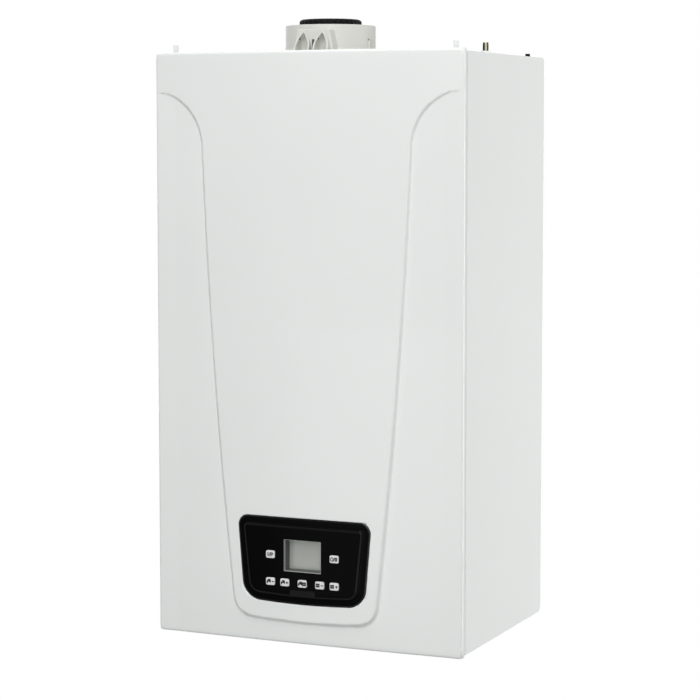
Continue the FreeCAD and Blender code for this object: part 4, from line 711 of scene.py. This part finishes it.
def lay_normals(panel, form):
    """Shades the face by its true slope rather than by its facets."""
    x, y, z = places_of(panel).T
    margin, step = form.edge_radius + 0.001, 0.0002
    face = (np.abs(x) < form.half_width - margin) & (z < form.top - margin) & (z > form.foot + margin)
    face &= np.abs(y - front_depth(form, x, z)) < 2e-5
    slope_x, slope_z = [(front_depth(form, x + dx, z + dz) - front_depth(form, x - dx, z - dz)) / (2 * step)
                        for dx, dz in ((step, 0), (0, step))]
    normal = np.stack([slope_x, -np.ones_like(x), slope_z], 1)
    normal /= np.linalg.norm(normal, axis=1)[:, None]
    for line in panel.data.edges:
        if line.use_edge_sharp:
            face[list(line.vertices)] = False
    normal[~face] = 0
    panel.data.normals_split_custom_set_from_vertices(normal.tolist())


def panel_returns(form):
    """Top and foot returns with their hook slots, screw notches and hem."""
    inner, over, under = form.half_width - form.inset, form.top + 0.01, form.foot - 0.01
    top_low = form.top - form.sheet
    top = box("top_return", (-inner, form.back, top_low), (inner, form.hem, form.top))
    sole = box("foot_return", (-inner, form.back, form.foot), (inner, form.sole, form.foot + form.sheet))
    slots, notches = [], []
    for side in (-1, 1):
        x, y = side * form.hook_x, form.back + 0.008
        slots.append(box("slot", (x - 0.0045, y - 0.005, top_low - 0.01), (x + 0.0045, y + 0.005, over)))
        x = side * form.screw_x
        notches.append(box("notch", (x - 0.0024, y, under), (x + 0.0024, form.sole + 0.01, under + 0.02)))
    carve(top, slots)
    carve(sole, notches)
    axis = form.top - 0.0005
    return [top, sole, rod("hem", (-inner, form.hem, axis), (inner, form.hem, axis), 0.0016, 24)]


class BOILER_OT_front_panel(Operator):
    """Builds the bowed front with its raised middle, returns and fascia opening"""
    bl_idname = "boiler.front_panel"
    bl_label = "Front panel"

    def execute(self, context):
        form = context.scene.boiler_panel
        radius = form.edge_radius
        half, high, low = form.half_width - radius, form.top - radius, form.foot + radius
        right = spaced([*mm(COLUMNS), (half, 1)])
        across = np.concatenate([-right[:0:-1], right])
        up = spaced([(low, FIRST_ROWS), *mm(ROWS, form.foot, 0), (high, 1)])
        grid_x, grid_z = np.meshgrid(across, up)
        panel = sheet("front_panel_look", np.stack([grid_x, np.zeros_like(grid_x), grid_z], 2))
        flat = len(panel.data.vertices)
        turns = np.radians([18, 36, 54, 72, 90])
        with edit_mode("DESELECT"):
            bpy.ops.mesh.select_non_manifold()
            for _ in range(len(turns) + 1):
                bpy.ops.mesh.extrude_edges_indiv()
        x, _, z = places_of(panel).T
        rim = 2 * (len(across) + len(up)) - 4
        past = np.arange(len(x)) - flat
        level = np.where(past < 0, 0, 1 + past // rim)
        ways = np.stack([np.sign(x) * (np.abs(x) > half - 1e-6), 1.0 * (z > high - 1e-6) - 1.0 * (z < low + 1e-6)], 1)
        ways /= np.maximum(np.linalg.norm(ways, axis=1), 1)[:, None]
        out = np.concatenate([[0], radius * np.sin(turns), [radius]])[level]
        back = np.concatenate([[0], radius * (1 - np.cos(turns)), [0]])[level]
        y = np.where(level == len(turns) + 1, form.back, front_depth(form, x, z) + back)
        move_points(panel, np.stack([x + ways[:, 0] * out, y, z + ways[:, 1] * out], 1))
        if panel.data.polygons[0].normal.y > 0:
            with edit_mode("SELECT"):
                bpy.ops.mesh.flip_normals()
        change(panel, "SOLIDIFY", thickness=form.sheet, offset=-1, use_even_offset=False)
        outline = fascia_line(context.scene.boiler_fascia, form.opening_gap)
        cutter = loft("cutter", [at_depth(outline, form.edge - 0.023), at_depth(outline, form.back + 0.005)])
        carve(panel, [cutter], 30)
        lay_normals(panel, form)
        gather([panel] + panel_returns(form), "front_panel_look")
        dress(panel, "front_panel", "white_paint", "front_panel")
        return {"FINISHED"}


def fascia_line(fascia, grow):
    """Outline of the fascia, grown or shrunk all round."""
    high = fascia.low + fascia.height + grow
    low = fascia.low + fascia.sag - grow
    top, foot = fascia.top_width / 2 + grow, fascia.foot_width / 2 + grow
    radii = [max(0.002, fascia.top_radius + grow * 0.85)] * 2 + [max(0.002, fascia.foot_radius + grow)] * 2
    line = rounded_rows([(-top, high), (top, high), (foot, low), (-foot, low)], radii, 14, 26)
    share = np.clip((low + radii[2] - line[:, 1]) / radii[2], 0, 1) ** 2
    line[:, 1] -= fascia.sag * np.clip(1 - (line[:, 0] / foot) ** 2, 0, 1) * share
    return line


# Rows of outline growth and depth in millimetres, from the rim's front and from the raised face.
FASCIA_RIM = ((0, 1.6), (-0.12, 1), (-0.5, 0.45), (-1.2, 0.14), (-2.2, 0), (-5, -0.1), (-7, -0.2),
              (-8.4, -0.4), (-8.9, -0.8), (-9.2, -1.4), (-9.3, -2.2), (-9.6, -2.9))
FASCIA_FACE = ((-10.1, 0.45), (-10.8, 0.18), (-12, 0.04), (-14, 0), (-16, 0))
PLATE = ((0, 2.5), (0, 0.6), (0.4, 0))
# Rows of inset and depth in millimetres, from each piece's front.
BUTTON = ((0, 5.2), (0, 0.7), (0.12, 0.4), (0.4, 0.15), (0.8, 0.03), (1.3, 0), (2.2, 0))
BEZEL = ((0, 13.6), (0, 0.2), (0.1, 0), (0.4, 0), (0.5, 0.3), (0.6, 4), (0.9, 4.1), (1, 4.5), (1.1, 13.6))
FLAP = ((0, 1.6), (0, 0.4), (0.12, 0.12), (0.5, 0), (1.2, 0))
# Bars of each sign in millimetres: place across and up, width and height.
TAP = ((0.1, 0.2, 4.8, 2), (-1.6, -1.3, 1.7, 2.2), (0.7, 1.3, 1.6, 1.6), (0.7, 2.2, 3.6, 1.3), (2.3, 0.1, 1.3, 3.2))
RADIATOR = ((-1.95, 0, 1, 4.7), (-0.65, 0, 1, 4.7), (0.65, 0, 1, 4.7), (1.95, 0, 1, 4.7),
            (0, 1.2, 4.9, 1), (0, -1.2, 4.9, 1))
LESS = ((0, 0, 3, 1.25),)
MORE = LESS + ((0, 0, 1.25, 3),)
LETTER_I = ((0, -0.6, 1.4, 3.2), (0, 2, 1.4, 1.3))
SLASH = ((-0.5, -1.6, 0.9, 1.5), (-0.15, -0.5, 0.9, 1.5), (0.15, 0.6, 0.9, 1.5), (0.5, 1.7, 0.9, 1.5))
LETTER_P = ((-1, 0, 1.2, 4.8), (0, 1.85, 2.4, 1.1), (0, -0.2, 2.4, 1.1), (1.1, 0.85, 1.1, 2.6))
LETTER_R = LETTER_P + ((0.8, -1.5, 1.2, 1.9),)
RING = ((-1.4, 0, 1.1, 3.4), (1.4, 0, 1.1, 3.4), (0, 1.9, 2.2, 1.1), (0, -1.9, 2.2, 1.1))
# Place of each button in millimetres, and its signs with their shift across.
BUTTONS = {
    "button_water_less": (-41.4, -575.4, (TAP, -2.2), (LESS, 3.3)),
    "button_water_more": (-22.7, -575.4, (TAP, -2.2), (MORE, 3.3)),
    "button_mode": (0, -575.4, (TAP, -2.5), (RADIATOR, 2.8)),
    "button_heating_less": (22.7, -575.4, (RADIATOR, -2.2), (LESS, 3.2)),
    "button_heating_more": (41.4, -575.4, (RADIATOR, -2.2), (MORE, 3.2)),
    "button_info": (-41.4, -543, (LETTER_I, -2.8), (SLASH, -0.7), (LETTER_P, 2)),
    "button_power": (41.4, -543, (RING, -2.6), (SLASH, 0.2), (LETTER_R, 2.7)),
}


def window_cutter(fascia, behind):
    """Block that cuts the display's opening, from behind the base to before the front."""
    half_x, half_z = fascia.window_half
    return rounded_block("window", 0, fascia.window, half_x + 0.00005, half_z + 0.00005, 0.0008,
                         ((0, fascia.base + behind), (0, fascia.front - 0.01)))


class BOILER_OT_fascia(Operator):
    """Builds the control cover with its glossy fascia"""
    bl_idname = "boiler.fascia"
    bl_label = "Fascia"

    def execute(self, context):
        fascia = context.scene.boiler_fascia
        levels = [(0, fascia.base), *mm(FASCIA_RIM, 0, fascia.front), *mm(FASCIA_FACE, 0, fascia.face)]
        turret = loft("turret", [at_depth(fascia_line(fascia, grow), y) for grow, y in levels], angle=50)
        through = ((0, fascia.base - 0.0005), (0, fascia.front - 0.01))
        wide, high = fascia.button_half
        cutters = [rounded_block("hole", x * MM, z * MM, wide + 0.0003, high + 0.0003, 0.0022, through)
                   for x, z, *_ in BUTTONS.values()]
        cutters.append(rounded_block("flap_hole", 0, fascia.cover_low + 0.0033, 0.0168, 0.0046, 0.0012, through))
        cutters.append(window_cutter(fascia, 0.01))
        carve(turret, cutters, 32)
        plate = rounded_block("plate", 0, fascia.plate, *fascia.plate_half, 0.0025, mm(PLATE, 0, fascia.base))
        carve(plate, [window_cutter(fascia, 0.02)])
        gather([turret, plate], "control_cover_look")
        dress(turret, "control_box", "black_gloss", "control_cover")
        return {"FINISHED"}


class BOILER_OT_display(Operator):
    """Builds the deep frame round the display"""
    bl_idname = "boiler.display"
    bl_label = "Display"

    def execute(self, context):
        fascia = context.scene.boiler_fascia
        wide, high = fascia.window_half
        rows = [rectangle(0, fascia.window, wide - inset, high - inset, [0.0006] * 4, y, 5, 6)
                for inset, y in mm(BEZEL, 0, fascia.face)]
        dress(loft("display_frame_look", rows, ring=True), "control_box", "frame_grey", "display_frame")
        return {"FINISHED"}


class BOILER_OT_buttons(Operator):
    """Builds the seven buttons with their marks"""
    bl_idname = "boiler.buttons"
    bl_label = "Buttons"

    def execute(self, context):
        fascia = context.scene.boiler_fascia
        front = fascia.face - 0.0012
        for name, (x, z, *signs) in BUTTONS.items():
            cap = rounded_block(name + "_look", x * MM, z * MM, *fascia.button_half, 0.0019, mm(BUTTON, 0, front))
            dress(cap, name, "button_white", name)
            bars = []
            for sign, shift in signs:
                for across, up, width, height in sign:
                    middle = Vector(((x + across + shift) * MM, front, (z + up) * MM))
                    size = Vector((width * MM / 2, 0.00002, height * MM / 2))
                    bars.append(box("bar", middle - size, middle + size))
            dress(gather(bars, name + "_mark"), name, "mark_ink")
        return {"FINISHED"}


class BOILER_OT_service_cover(Operator):
    """Builds the small flap under the buttons"""
    bl_idname = "boiler.service_cover"
    bl_label = "Service cover"

    def execute(self, context):
        fascia = context.scene.boiler_fascia
        low, face = fascia.cover_low, fascia.face
        front = face - 0.0005
        wide, high = fascia.cover_half
        rows = [rectangle(0, low + 0.0036, wide - inset, high - inset,
                          [0.0022 - inset] * 2 + [0.0013 - inset] * 2, y, 7, 6) for inset, y in mm(FLAP, 0, front)]
        flap = loft("service_cover_look", rows)
        grip = box("grip", (-0.005, front - 0.0003, low + 0.0048), (0.005, front + 0.0002, low + 0.0054), 0.0001)
        pin = rod("pin", (-0.018, face + 0.00125, low + 0.0011), (0.018, face + 0.00125, low + 0.0011), 0.0008, 20)
        gather([flap, grip, pin], "service_cover_look")
        dress(flap, "service_cover", "flap_black", "service_cover")
        return {"FINISHED"}


# Rows of reach and height in millimetres, from the corner that each run starts at.
FLANGE = ((0, 0), (0, 2.9), (-0.3, 3.4), (-1.2, 4))
FILLET = ((2.6, 6.4), (0.9, 7.8), (0.2, 9.4), (0, 11.2))
SOCKET_RIM = ((0, -1.9), (-0.2, -1.2), (-0.7, -0.8), (-1.3, -0.7), (-1.9, -0.8), (-2.4, -1.2), (-2.6, -1.9))
INNER_FOOT = ((0, -22), (3, -22))
INNER_RIM = ((3, -0.5), (2.5, 0), (0.4, 0), (0, -0.4))
INNER_STOP = ((0, 4), (-2, 4), (-2, 2), (0, 2))
# The ports' block: rows of height, flare and inset.
PORT_BLOCK = ((0, 5.2, 0), (4, 4.7, 0), (16, 2.6, 0), (29.6, 0.3, 0), (30.4, 0.2, 0.2),
              (30.9, 0.1, 0.6), (31, 0, 1.1))
# The ports' hoods: half width, foot, spring, peak and depth of the arch in millimetres, and share of the slant.
HOOD = ((9.9, 0, 9, 29.6, 9.2, 0), (9.9, 0, 9, 29.6, 0, 0.8), (9.9, 0, 9, 29.6, 0, 0.96),
        (9.7, 0.2, 9, 29.4, 0, 0.99), (9.3, 0.5, 9, 29, 0, 1), (8.2, 1.3, 9, 27.9, 0, 1),
        (7.9, 1.6, 9, 27.5, 0, 0.98), (7.7, 1.8, 9, 27.3, 0, 0.93), (7.4, 2, 8.9, 26.9, 0, 0.5),
        (6.8, 2.4, 8.8, 26.3, 3, 0), (5.6, 3.4, 8.7, 24.6, 6, 0), (3.8, 5.2, 8.6, 21.5, 7.8, 0),
        (1.4, 8, 9, 16, 8.5, 0))
HOOD_PEAK = 0.0296
# The seal: rows of reach, rib and height, from its outer edge and from the inner socket's bore.
SEAL_FOOT = ((-1.4, 0, -4.7), (-0.8, 0.7, -4.2))
SEAL_CROWN = ((-0.8, 0.8, -3.4), (-1, 0.8, -2.4), (-1.4, 0.4, -1.4), (-2.2, 0, -0.6), (-3.4, 0, -0.1), (-4.8, 0, 0))
SEAL_BORE = ((0.6, 0, 0), (0, 0, -0.6))
SEAL_RIBS = 36


def arch_line(x, half, low, spring, peak):
    """Outline of a pointed arch, evenly indexed whatever its size."""
    rise = np.linspace(0, 1, 17)[:-1]
    left = np.stack([x - half * (1 - rise ** 1.9), spring + (peak - spring) * rise], 1)
    wall = np.stack([np.full(10, x - half), np.linspace(low, spring, 11)[:-1]], 1)
    half_line = np.concatenate([wall, left])
    other = half_line[::-1] * [-1, 1] + [2 * x, 0]
    sole = np.stack([np.linspace(x + half, x - half, 14)[1:-1], np.full(12, low)], 1)
    return np.concatenate([half_line, [[x, peak]], other, sole])


def turned(name, flue, profile):
    """Ring turned round the flue's axis, from rows of radius and height."""
    return loft(name, [circle((flue.x, flue.y), radius, z, 128) for radius, z in profile], ring=True)


def port_block(flue, middle):
    """Flat-faced block that carries the ports, flared towards its foot."""
    rows, back = [], flue.port_front + 0.03
    for rise, flare, inset in mm(PORT_BLOCK):
        half, y = flue.port_half + flare - inset, flue.port_front + inset
        corners = [(middle - half, back), (middle - half, y), (middle + half, y), (middle + half, back)]
        line = rounded_rows(corners, [0.0003, 0.0011, 0.0011, 0.0003], 6, 8)
        rows.append(np.column_stack([line, np.full(len(line), flue.base + rise)]))
    return loft("block", rows)


def hood(flue, x):
    """Pointed hood round one port, its mouth slanting forward to the foot."""
    rows = []
    for *sizes, lean in HOOD:
        half, low, spring, peak, back = mm(sizes)
        line = arch_line(x, half, flue.base + low, flue.base + spring, flue.base + peak)
        slant = (flue.port_slant * (flue.base + HOOD_PEAK - line[:, 1]) + 0.0006) * lean
        rows.append(np.stack([line[:, 0], flue.port_front + back - slant, line[:, 1]], 1))
    return loft("hood", rows, angle=48)


def flue_trims(flue, axis, outer, bore):
    """Ears, webs, the upright rib with its hook and the small slanting rib."""
    base, made = flue.base, []
    for quarter in range(4):
        way = way_of(45 + 90 * quarter)
        spot = axis + way * flue.ear_radius
        ear = rod("ear", spot + lift(base), spot + lift(base + 0.0035), 0.007, 40)
        change(ear, "BEVEL", width=0.0004, segments=2, limit_method="ANGLE")
        carve(ear, [rod("hole", spot + lift(base - 0.01), spot + lift(base + 0.01), 0.002, 24)], 35)
        centre = axis + lift(base + 0.0035)
        made += [ear, rod("web", centre + way * (outer - 0.001), centre + way * (bore + 0.001), 0.0015, 12)]
    spot = axis + way_of(-9) * (flue.radius + 0.0008) + lift(base)
    made.append(box("rib", spot + Vector((-0.0012, -0.0011, 0.003)), spot + Vector((0.0012, 0.0011, 0.0205)), 0.0003))
    made.append(box("hook", spot + Vector((-0.0022, -0.0011, 0.0185)), spot + Vector((0.002, 0.0045, 0.0205)), 0.0003))
    way = way_of(-30)
    made.append(rod("strut", axis + way * (flue.radius - 0.0006) + lift(base + 0.0105),
                    axis + way * (flue.radius + 0.0068) + lift(base + 0.003), 0.0008, 16))
    return made


class BOILER_OT_flue_adapter(Operator):
    """Builds the flue adapter with its sampling ports and the ribbed seal"""
    bl_idname = "boiler.flue_adapter"
    bl_label = "Flue adapter"

    def execute(self, context):
        flue = context.scene.boiler_flue
        base, top, radius, front, socket = flue.base, flue.top, flue.radius, flue.port_front, flue.socket_radius
        bore, outer, middle = radius - flue.wall, socket + 0.003, flue.x + flue.port_shift
        axis = Vector((flue.x, flue.y, 0))
        shell = turned("flue_adapter_look", flue, [(bore, base), *mm(FLANGE, flue.flange_radius, base),
                                                   *mm(FILLET, radius, base), *mm(SOCKET_RIM, radius, top)])
        block = port_block(flue, middle)
        carve(block, [rod("bore", axis + lift(base - 0.01), axis + lift(top), bore + 0.001, 128)])
        spots = [middle + side * flue.port_pitch / 2 for side in (-1, 1)]
        for piece in (shell, block):
            lines = [arch_line(x, 0.0096, base - 0.002, base + 0.0092, base + 0.0292) for x in spots]
            cutters = [loft("cutter", [at_depth(line, front - 0.03), at_depth(line, front + 0.0088)]) for line in lines]
            carve(piece, cutters, 35)
        hoods = [hood(flue, x) for x in spots]
        inner = turned("socket", flue, [*mm(INNER_FOOT, socket, base), *mm(INNER_RIM, socket, top),
                                        *mm(INNER_STOP, socket, base)])
        extras = flue_trims(flue, axis, outer, bore)
        gather([shell, block] + hoods + [inner] + extras, "flue_adapter_look")
        dress(shell, "casing", "grey_plastic", "flue_adapter")
        # Small dark marks high on the left inside each hood, and a dark strip between the hoods that is painted shadow
        # in the gap there.
        marks_and_painted_shadow = [box("dark_mark", (x - 0.0056, front - 0.003, base + 0.0186), (x - 0.0042, front - 0.0008, base + 0.0216))
                 for x in spots]
        marks_and_painted_shadow.append(box("dark_mark", (middle - 0.0016, front - 0.0003, base + 0.0006),
                         (middle + 0.0016, front + 0.0004, base + 0.019), 0.0001))
        dress(gather(marks_and_painted_shadow, "flue_adapter_dark_marks_and_painted_shadow"), "casing", "dark_plastic")
        axis_z = base + 0.0105
        plugs = [rod("plug", (x, front + 0.0076, axis_z), (x, front + 0.0098, axis_z), 0.0024, 24) for x in spots]
        dress(gather(plugs, "sampling_plugs_look"), "casing", "grey_plastic", "sampling_plugs")
        edge = outer + 0.0001
        rows = [(edge, 0, top - 0.0047), *mm(SEAL_FOOT, flue.seal_radius, 0, top),
                *mm(SEAL_CROWN, flue.seal_radius, 0, flue.seal_top), *mm(SEAL_BORE, socket, 0, flue.seal_top),
                (socket, 0, top + 0.0001), (edge, 0, top + 0.0001)]
        lip = loft("flue_seal_look", waved_rings((flue.x, flue.y), rows, SEAL_RIBS, 10, 3), ring=True)
        dress(lip, "casing", "black_rubber", "flue_seal")
        return {"FINISHED"}


# Place across, radius and height of each connection, the line that they stand on, and one turn of their thread.
CONNECTIONS = ((-0.135, 0.0132, 0.025), (-0.0675, 0.0105, 0.09), (0, 0.0132, 0.025), (0.0675, 0.0105, 0.09),
               (0.135, 0.0132, 0.025))
CONNECTION_LINE = -0.102
PITCH = 0.0018


def nut(x, radius, low, bore):
    """Six-sided nut with turned ends."""
    points, flat, height = 72, radius * 2.3 / 2, 0.01
    sides = flat / np.cos((turns_of(points) % (math.pi / 3)) - math.pi / 6)
    rows = [circle((x, CONNECTION_LINE), np.minimum(sides, limit), low + rise, points)
            for limit, rise in ((bore, 0), (flat * 1.01, 0), (flat * 1.16, 0.0012), (flat * 1.16, 0.0088),
                                (flat * 1.01, height), (bore, height))]
    return loft("nut", rows, ring=True, angle=24)


class BOILER_OT_connections(Operator):
    """Builds the five threaded connections under the floor"""
    bl_idname = "boiler.connections"
    bl_label = "Connections"

    def execute(self, context):
        foot = context.scene.boiler_panel.foot
        made = []
        for x, radius, rise in CONNECTIONS:
            bore, root, neck, stub = radius * 0.6, radius - 0.001, radius - 0.0007, radius * 0.78
            low, nut_low, top = foot - 0.024, foot + 0.008, foot + rise
            profile = [(bore, low + 0.0004), (bore + 0.0004, low), (root - 0.0004, low), (root, low + 0.0004)]
            z = low + 0.0008
            while z + PITCH < foot + 0.001:
                profile += [(root, z), (radius, z + PITCH * 0.36), (radius, z + PITCH * 0.56), (root, z + PITCH * 0.92)]
                z += PITCH
            profile += [(neck, foot + 0.001), (neck, nut_low + 0.001), (stub, nut_low + 0.002), (stub, top),
                        (bore, top)]
            rows = [circle((x, CONNECTION_LINE), reach, z, 48) for reach, z in profile]
            made += [loft("stub", rows, ring=True, angle=24), nut(x, radius, nut_low, stub)]
        dress(gather(made, "connection_stubs_look"), "casing", "brass", "connection_stubs")
        return {"FINISHED"}


# The vent's place, and its cap: rows of radius, knurl and height in millimetres.
VENT = (0.156, -0.097)
VENT_CAP = ((0.02, 0, 39.2), (2.2, 0, 39.2), (2.4, 0, 40), (2.4, 0, 51.2), (3.1, 0, 51.4), (3.3, 0, 51.8),
            (3.2, 0.3, 52.6), (3.2, 0.3, 60.6), (3.3, 0, 61.2), (3.4, 0, 61.6), (3.4, 0, 62.6), (3.2, 0, 63.1),
            (2.6, 0, 63.3), (1.2, 0, 63.3), (1.1, 0, 62.4), (0.02, 0, 62.4))
VENT_KNURLS = 28


class BOILER_OT_air_vent(Operator):
    """Builds the knurled cap of the air vent"""
    bl_idname = "boiler.air_vent"
    bl_label = "Air vent"

    def execute(self, context):
        cap = loft("air_vent_look", waved_rings(VENT, mm(VENT_CAP), VENT_KNURLS, 6, 1))
        dress(cap, "air_vent", "aged_brass", "air_vent")
        return {"FINISHED"}


# Width of the rounding of each node's edges, in millimetres.
SOFT = {
    "top_plate": 0.3, "bottom_plate": 0.3, "left_side_panel": 0.4, "right_side_panel": 0.4, "rear_frame": 0.3,
    "control_shell": 0.5, "gas_valve": 1.2, "fan_housing": 1.2, "fan_motor": 1.5, "pump_motor": 1.5,
    "flow_manifold": 1.2, "return_manifold": 1.2, "burner_door": 1, "exchanger_shell": 0.8,
    "plate_exchanger": 0.4, "condensate_trap": 1.2, "gas_mixer": 1, "mixture_duct": 1, "safety_valve": 0.8,
    "safety_knob": 0.8, "filling_knob": 0.8, "drain_knob": 0.8, "fasteners": 0.3, "hinge_brackets": 0.3,
    "grommets": 0.4, "circuit_board": 0.15, "panel_pad": 1, "chamber_gasket": 0.5, "expansion_vessel": 1,
}
# The trap's rings: share of its height, half height and stand-off.
TRAP_RINGS = ((0.93, 0.0025, 0.0016), (0.5, 0.0018, 0.001), (0.2, 0.0012, 0.0009), (0.13, 0.0012, 0.0009),
              (0.06, 0.0012, 0.0009))
# The rear sheet's beads: place, half width and half height; then rows of inset and depth in millimetres.
BEADS = ((-0.115, -0.345, 0.007, 0.235), (0.115, -0.345, 0.007, 0.235), (0, -0.16, 0.075, 0.007),
         (0, -0.345, 0.075, 0.007), (0, -0.53, 0.075, 0.007))
BEAD = ((2.2, -0.6), (1.5, -0.52), (0.6, -0.14), (0, 0), (0, 2))


def trap_rings(piece):
    """Lays a lid's rim, a joint and a grooved cup round the trap."""
    points = places_of(piece)
    low, high = points.min(0), points.max(0)
    middle, radius = (low + high) / 2, (high[0] - low[0]) / 2
    reach = np.linalg.norm(points[:, :2] - middle[:2], axis=1)
    wall = points[reach > radius - 0.0015, 2]
    made = [piece]
    for share, half, stand in TRAP_RINGS:
        z = wall.min() + share * (wall.max() - wall.min())
        rows = [circle(middle, radius + out, z + half * step, 72)
                for out, step in ((-0.001, -1), (stand, -0.7), (stand, 0.7), (-0.001, 1))]
        made.append(dress(loft("ring", rows, ring=True), "casing", "grey_plastic"))
    gather(made, piece.name)


def press_beads(piece):
    """Presses shallow stiffening beads into the rear sheet."""
    carve(piece, [rounded_block("bead", *bead, 0.0069, mm(BEAD)) for bead in BEADS], 35)
    even_shading(piece)


class BOILER_OT_soft_edges(Operator):
    """Rounds the edges of the pieces inside and round the casing"""
    bl_idname = "boiler.soft_edges"
    bl_label = "Soft edges"

    def execute(self, context):
        extras = {"rear_frame": press_beads, "condensate_trap": trap_rings}
        for node, width in SOFT.items():
            piece = soften(node, width * MM)
            if node in extras:
                extras[node](piece)
        return {"FINISHED"}


# Each lamp's width, place, aim and strength in watts.
LAMPS = {
    "key": (2, (0.75, -2.7, 1.2), (0, 0, -0.3), 35.8),
    "right": (1.4, (2.2, 1, -0.45), (0.2, -0.14, -0.45), 35),
    "left": (1.6, (-2, 2.2, 0), (-0.2, -0.14, -0.3), 18),
    "top": (1.4, (0, -0.25, 2), (0, -0.2, 0), 20),
    "low": (1.6, (0.6, -2.4, -0.55), (0, -0.1, -0.3), 9.2),
    "brow": (0.5, (0, -0.95, 0.8), (0, -0.28, 0), 2),
    "sill": (0.5, (-0.15, -1.1, -0.6), (0, -0.28, -0.6), 0.95),
    "spark": (0.1, (0.9, -1.8, 1.9), (0, -0.28, -0.55), 8),
}


class BOILER_OT_stage(Operator):
    """Sets the camera, lights, floor and background"""
    bl_idname = "boiler.stage"
    bl_label = "Stage"

    def execute(self, context):
        stage = context.scene.boiler_stage
        deselect()
        bpy.ops.object.camera_add(location=stage.place, rotation=Euler((math.pi / 2 - stage.tilt, 0, stage.turn)))
        camera = context.object
        camera.data.lens = stage.lens
        camera.data.sensor_width = 36
        camera.data.shift_y = stage.rise
        context.scene.camera = camera
        white = Finish("stage_white")
        white.set(base_color=white.blend(white.noise(0.7, 1), (0.78, 0.78, 0.78), (0.82, 0.82, 0.82)), roughness=0.9)
        glow = white.node("ShaderNodeEmission", {}, {"Color": (1, 1, 1, 1), "Strength": 1})
        matt = Wire(white, white.shader.outputs[0])
        mixed = white.node("ShaderNodeMixShader", {}, {0: white.seen(), 1: matt, 2: glow})
        white.put(white.tree.nodes["Material Output"].inputs["Surface"], mixed)
        deselect()
        bpy.ops.mesh.primitive_plane_add(size=stage.floor_size, location=(0, 0, stage.floor))
        plane = context.object
        plane.name = "floor"
        plane.data.materials.append(MATERIALS["stage_white"])
        plane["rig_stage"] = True
        for name, (size, place, aim, watts) in LAMPS.items():
            deselect()
            bpy.ops.object.light_add(type="AREA", location=place)
            lamp = context.object
            lamp.name = name
            lamp.data.size = size
            lamp.data.energy = watts * stage.power
            lamp.rotation_euler = (Vector(aim) - Vector(place)).to_track_quat("-Z", "Y").to_euler()
        world = context.scene.world = bpy.data.worlds.new("studio")
        world.use_nodes = True
        sky = Shade(world.node_tree)
        fill = stage.fill * stage.power
        back = sky.tree.nodes["Background"]
        sky.put(back.inputs["Color"], (1, 1, 1, 1))
        sky.put(back.inputs["Strength"], fill + sky.seen() * (1 - fill))
        context.scene.view_settings.view_transform = "Standard"
        return {"FINISHED"}


class BOILER_PT_panel(bpy.types.Panel):
    """Buttons that build the boiler's looks"""
    bl_idname = "BOILER_PT_panel"
    bl_label = "Boiler"
    bl_space_type = "VIEW_3D"
    bl_region_type = "UI"
    bl_category = "Boiler"

    def draw(self, context):
        for operator in OPERATORS:
            self.layout.operator(operator.bl_idname)


GROUPS = (("boiler_panel", BoilerPanelSettings), ("boiler_fascia", BoilerFasciaSettings),
          ("boiler_flue", BoilerFlueSettings), ("boiler_stage", BoilerStageSettings))
OPERATORS = (BOILER_OT_frame_finish, BOILER_OT_front_panel, BOILER_OT_fascia, BOILER_OT_display, BOILER_OT_buttons,
             BOILER_OT_service_cover, BOILER_OT_flue_adapter, BOILER_OT_connections,
             BOILER_OT_air_vent, BOILER_OT_soft_edges, BOILER_OT_stage)


def register():
    for name, group in GROUPS:
        bpy.utils.register_class(group)
        setattr(bpy.types.Scene, name, PointerProperty(type=group))
    for kind in OPERATORS + (BOILER_PT_panel,):
        bpy.utils.register_class(kind)


def unregister():
    for kind in reversed(OPERATORS + (BOILER_PT_panel,)):
        bpy.utils.unregister_class(kind)
    for name, group in reversed(GROUPS):
        delattr(bpy.types.Scene, name)
        bpy.utils.unregister_class(group)


def corners():
    """The object's box as plain lists."""
    return [list(map(float, corner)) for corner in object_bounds()]


def main():
    register()
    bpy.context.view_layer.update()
    bpy.ops.boiler.frame_finish()
    bpy.ops.boiler.front_panel()
    bpy.ops.boiler.fascia()
    bpy.ops.boiler.display()
    bpy.ops.boiler.buttons()
    bpy.ops.boiler.service_cover()
    bpy.ops.boiler.flue_adapter()
    bpy.ops.boiler.connections()
    bpy.ops.boiler.air_vent()
    bpy.ops.boiler.soft_edges()
    bpy.ops.boiler.stage()


if __name__ == "__main__":
    main()
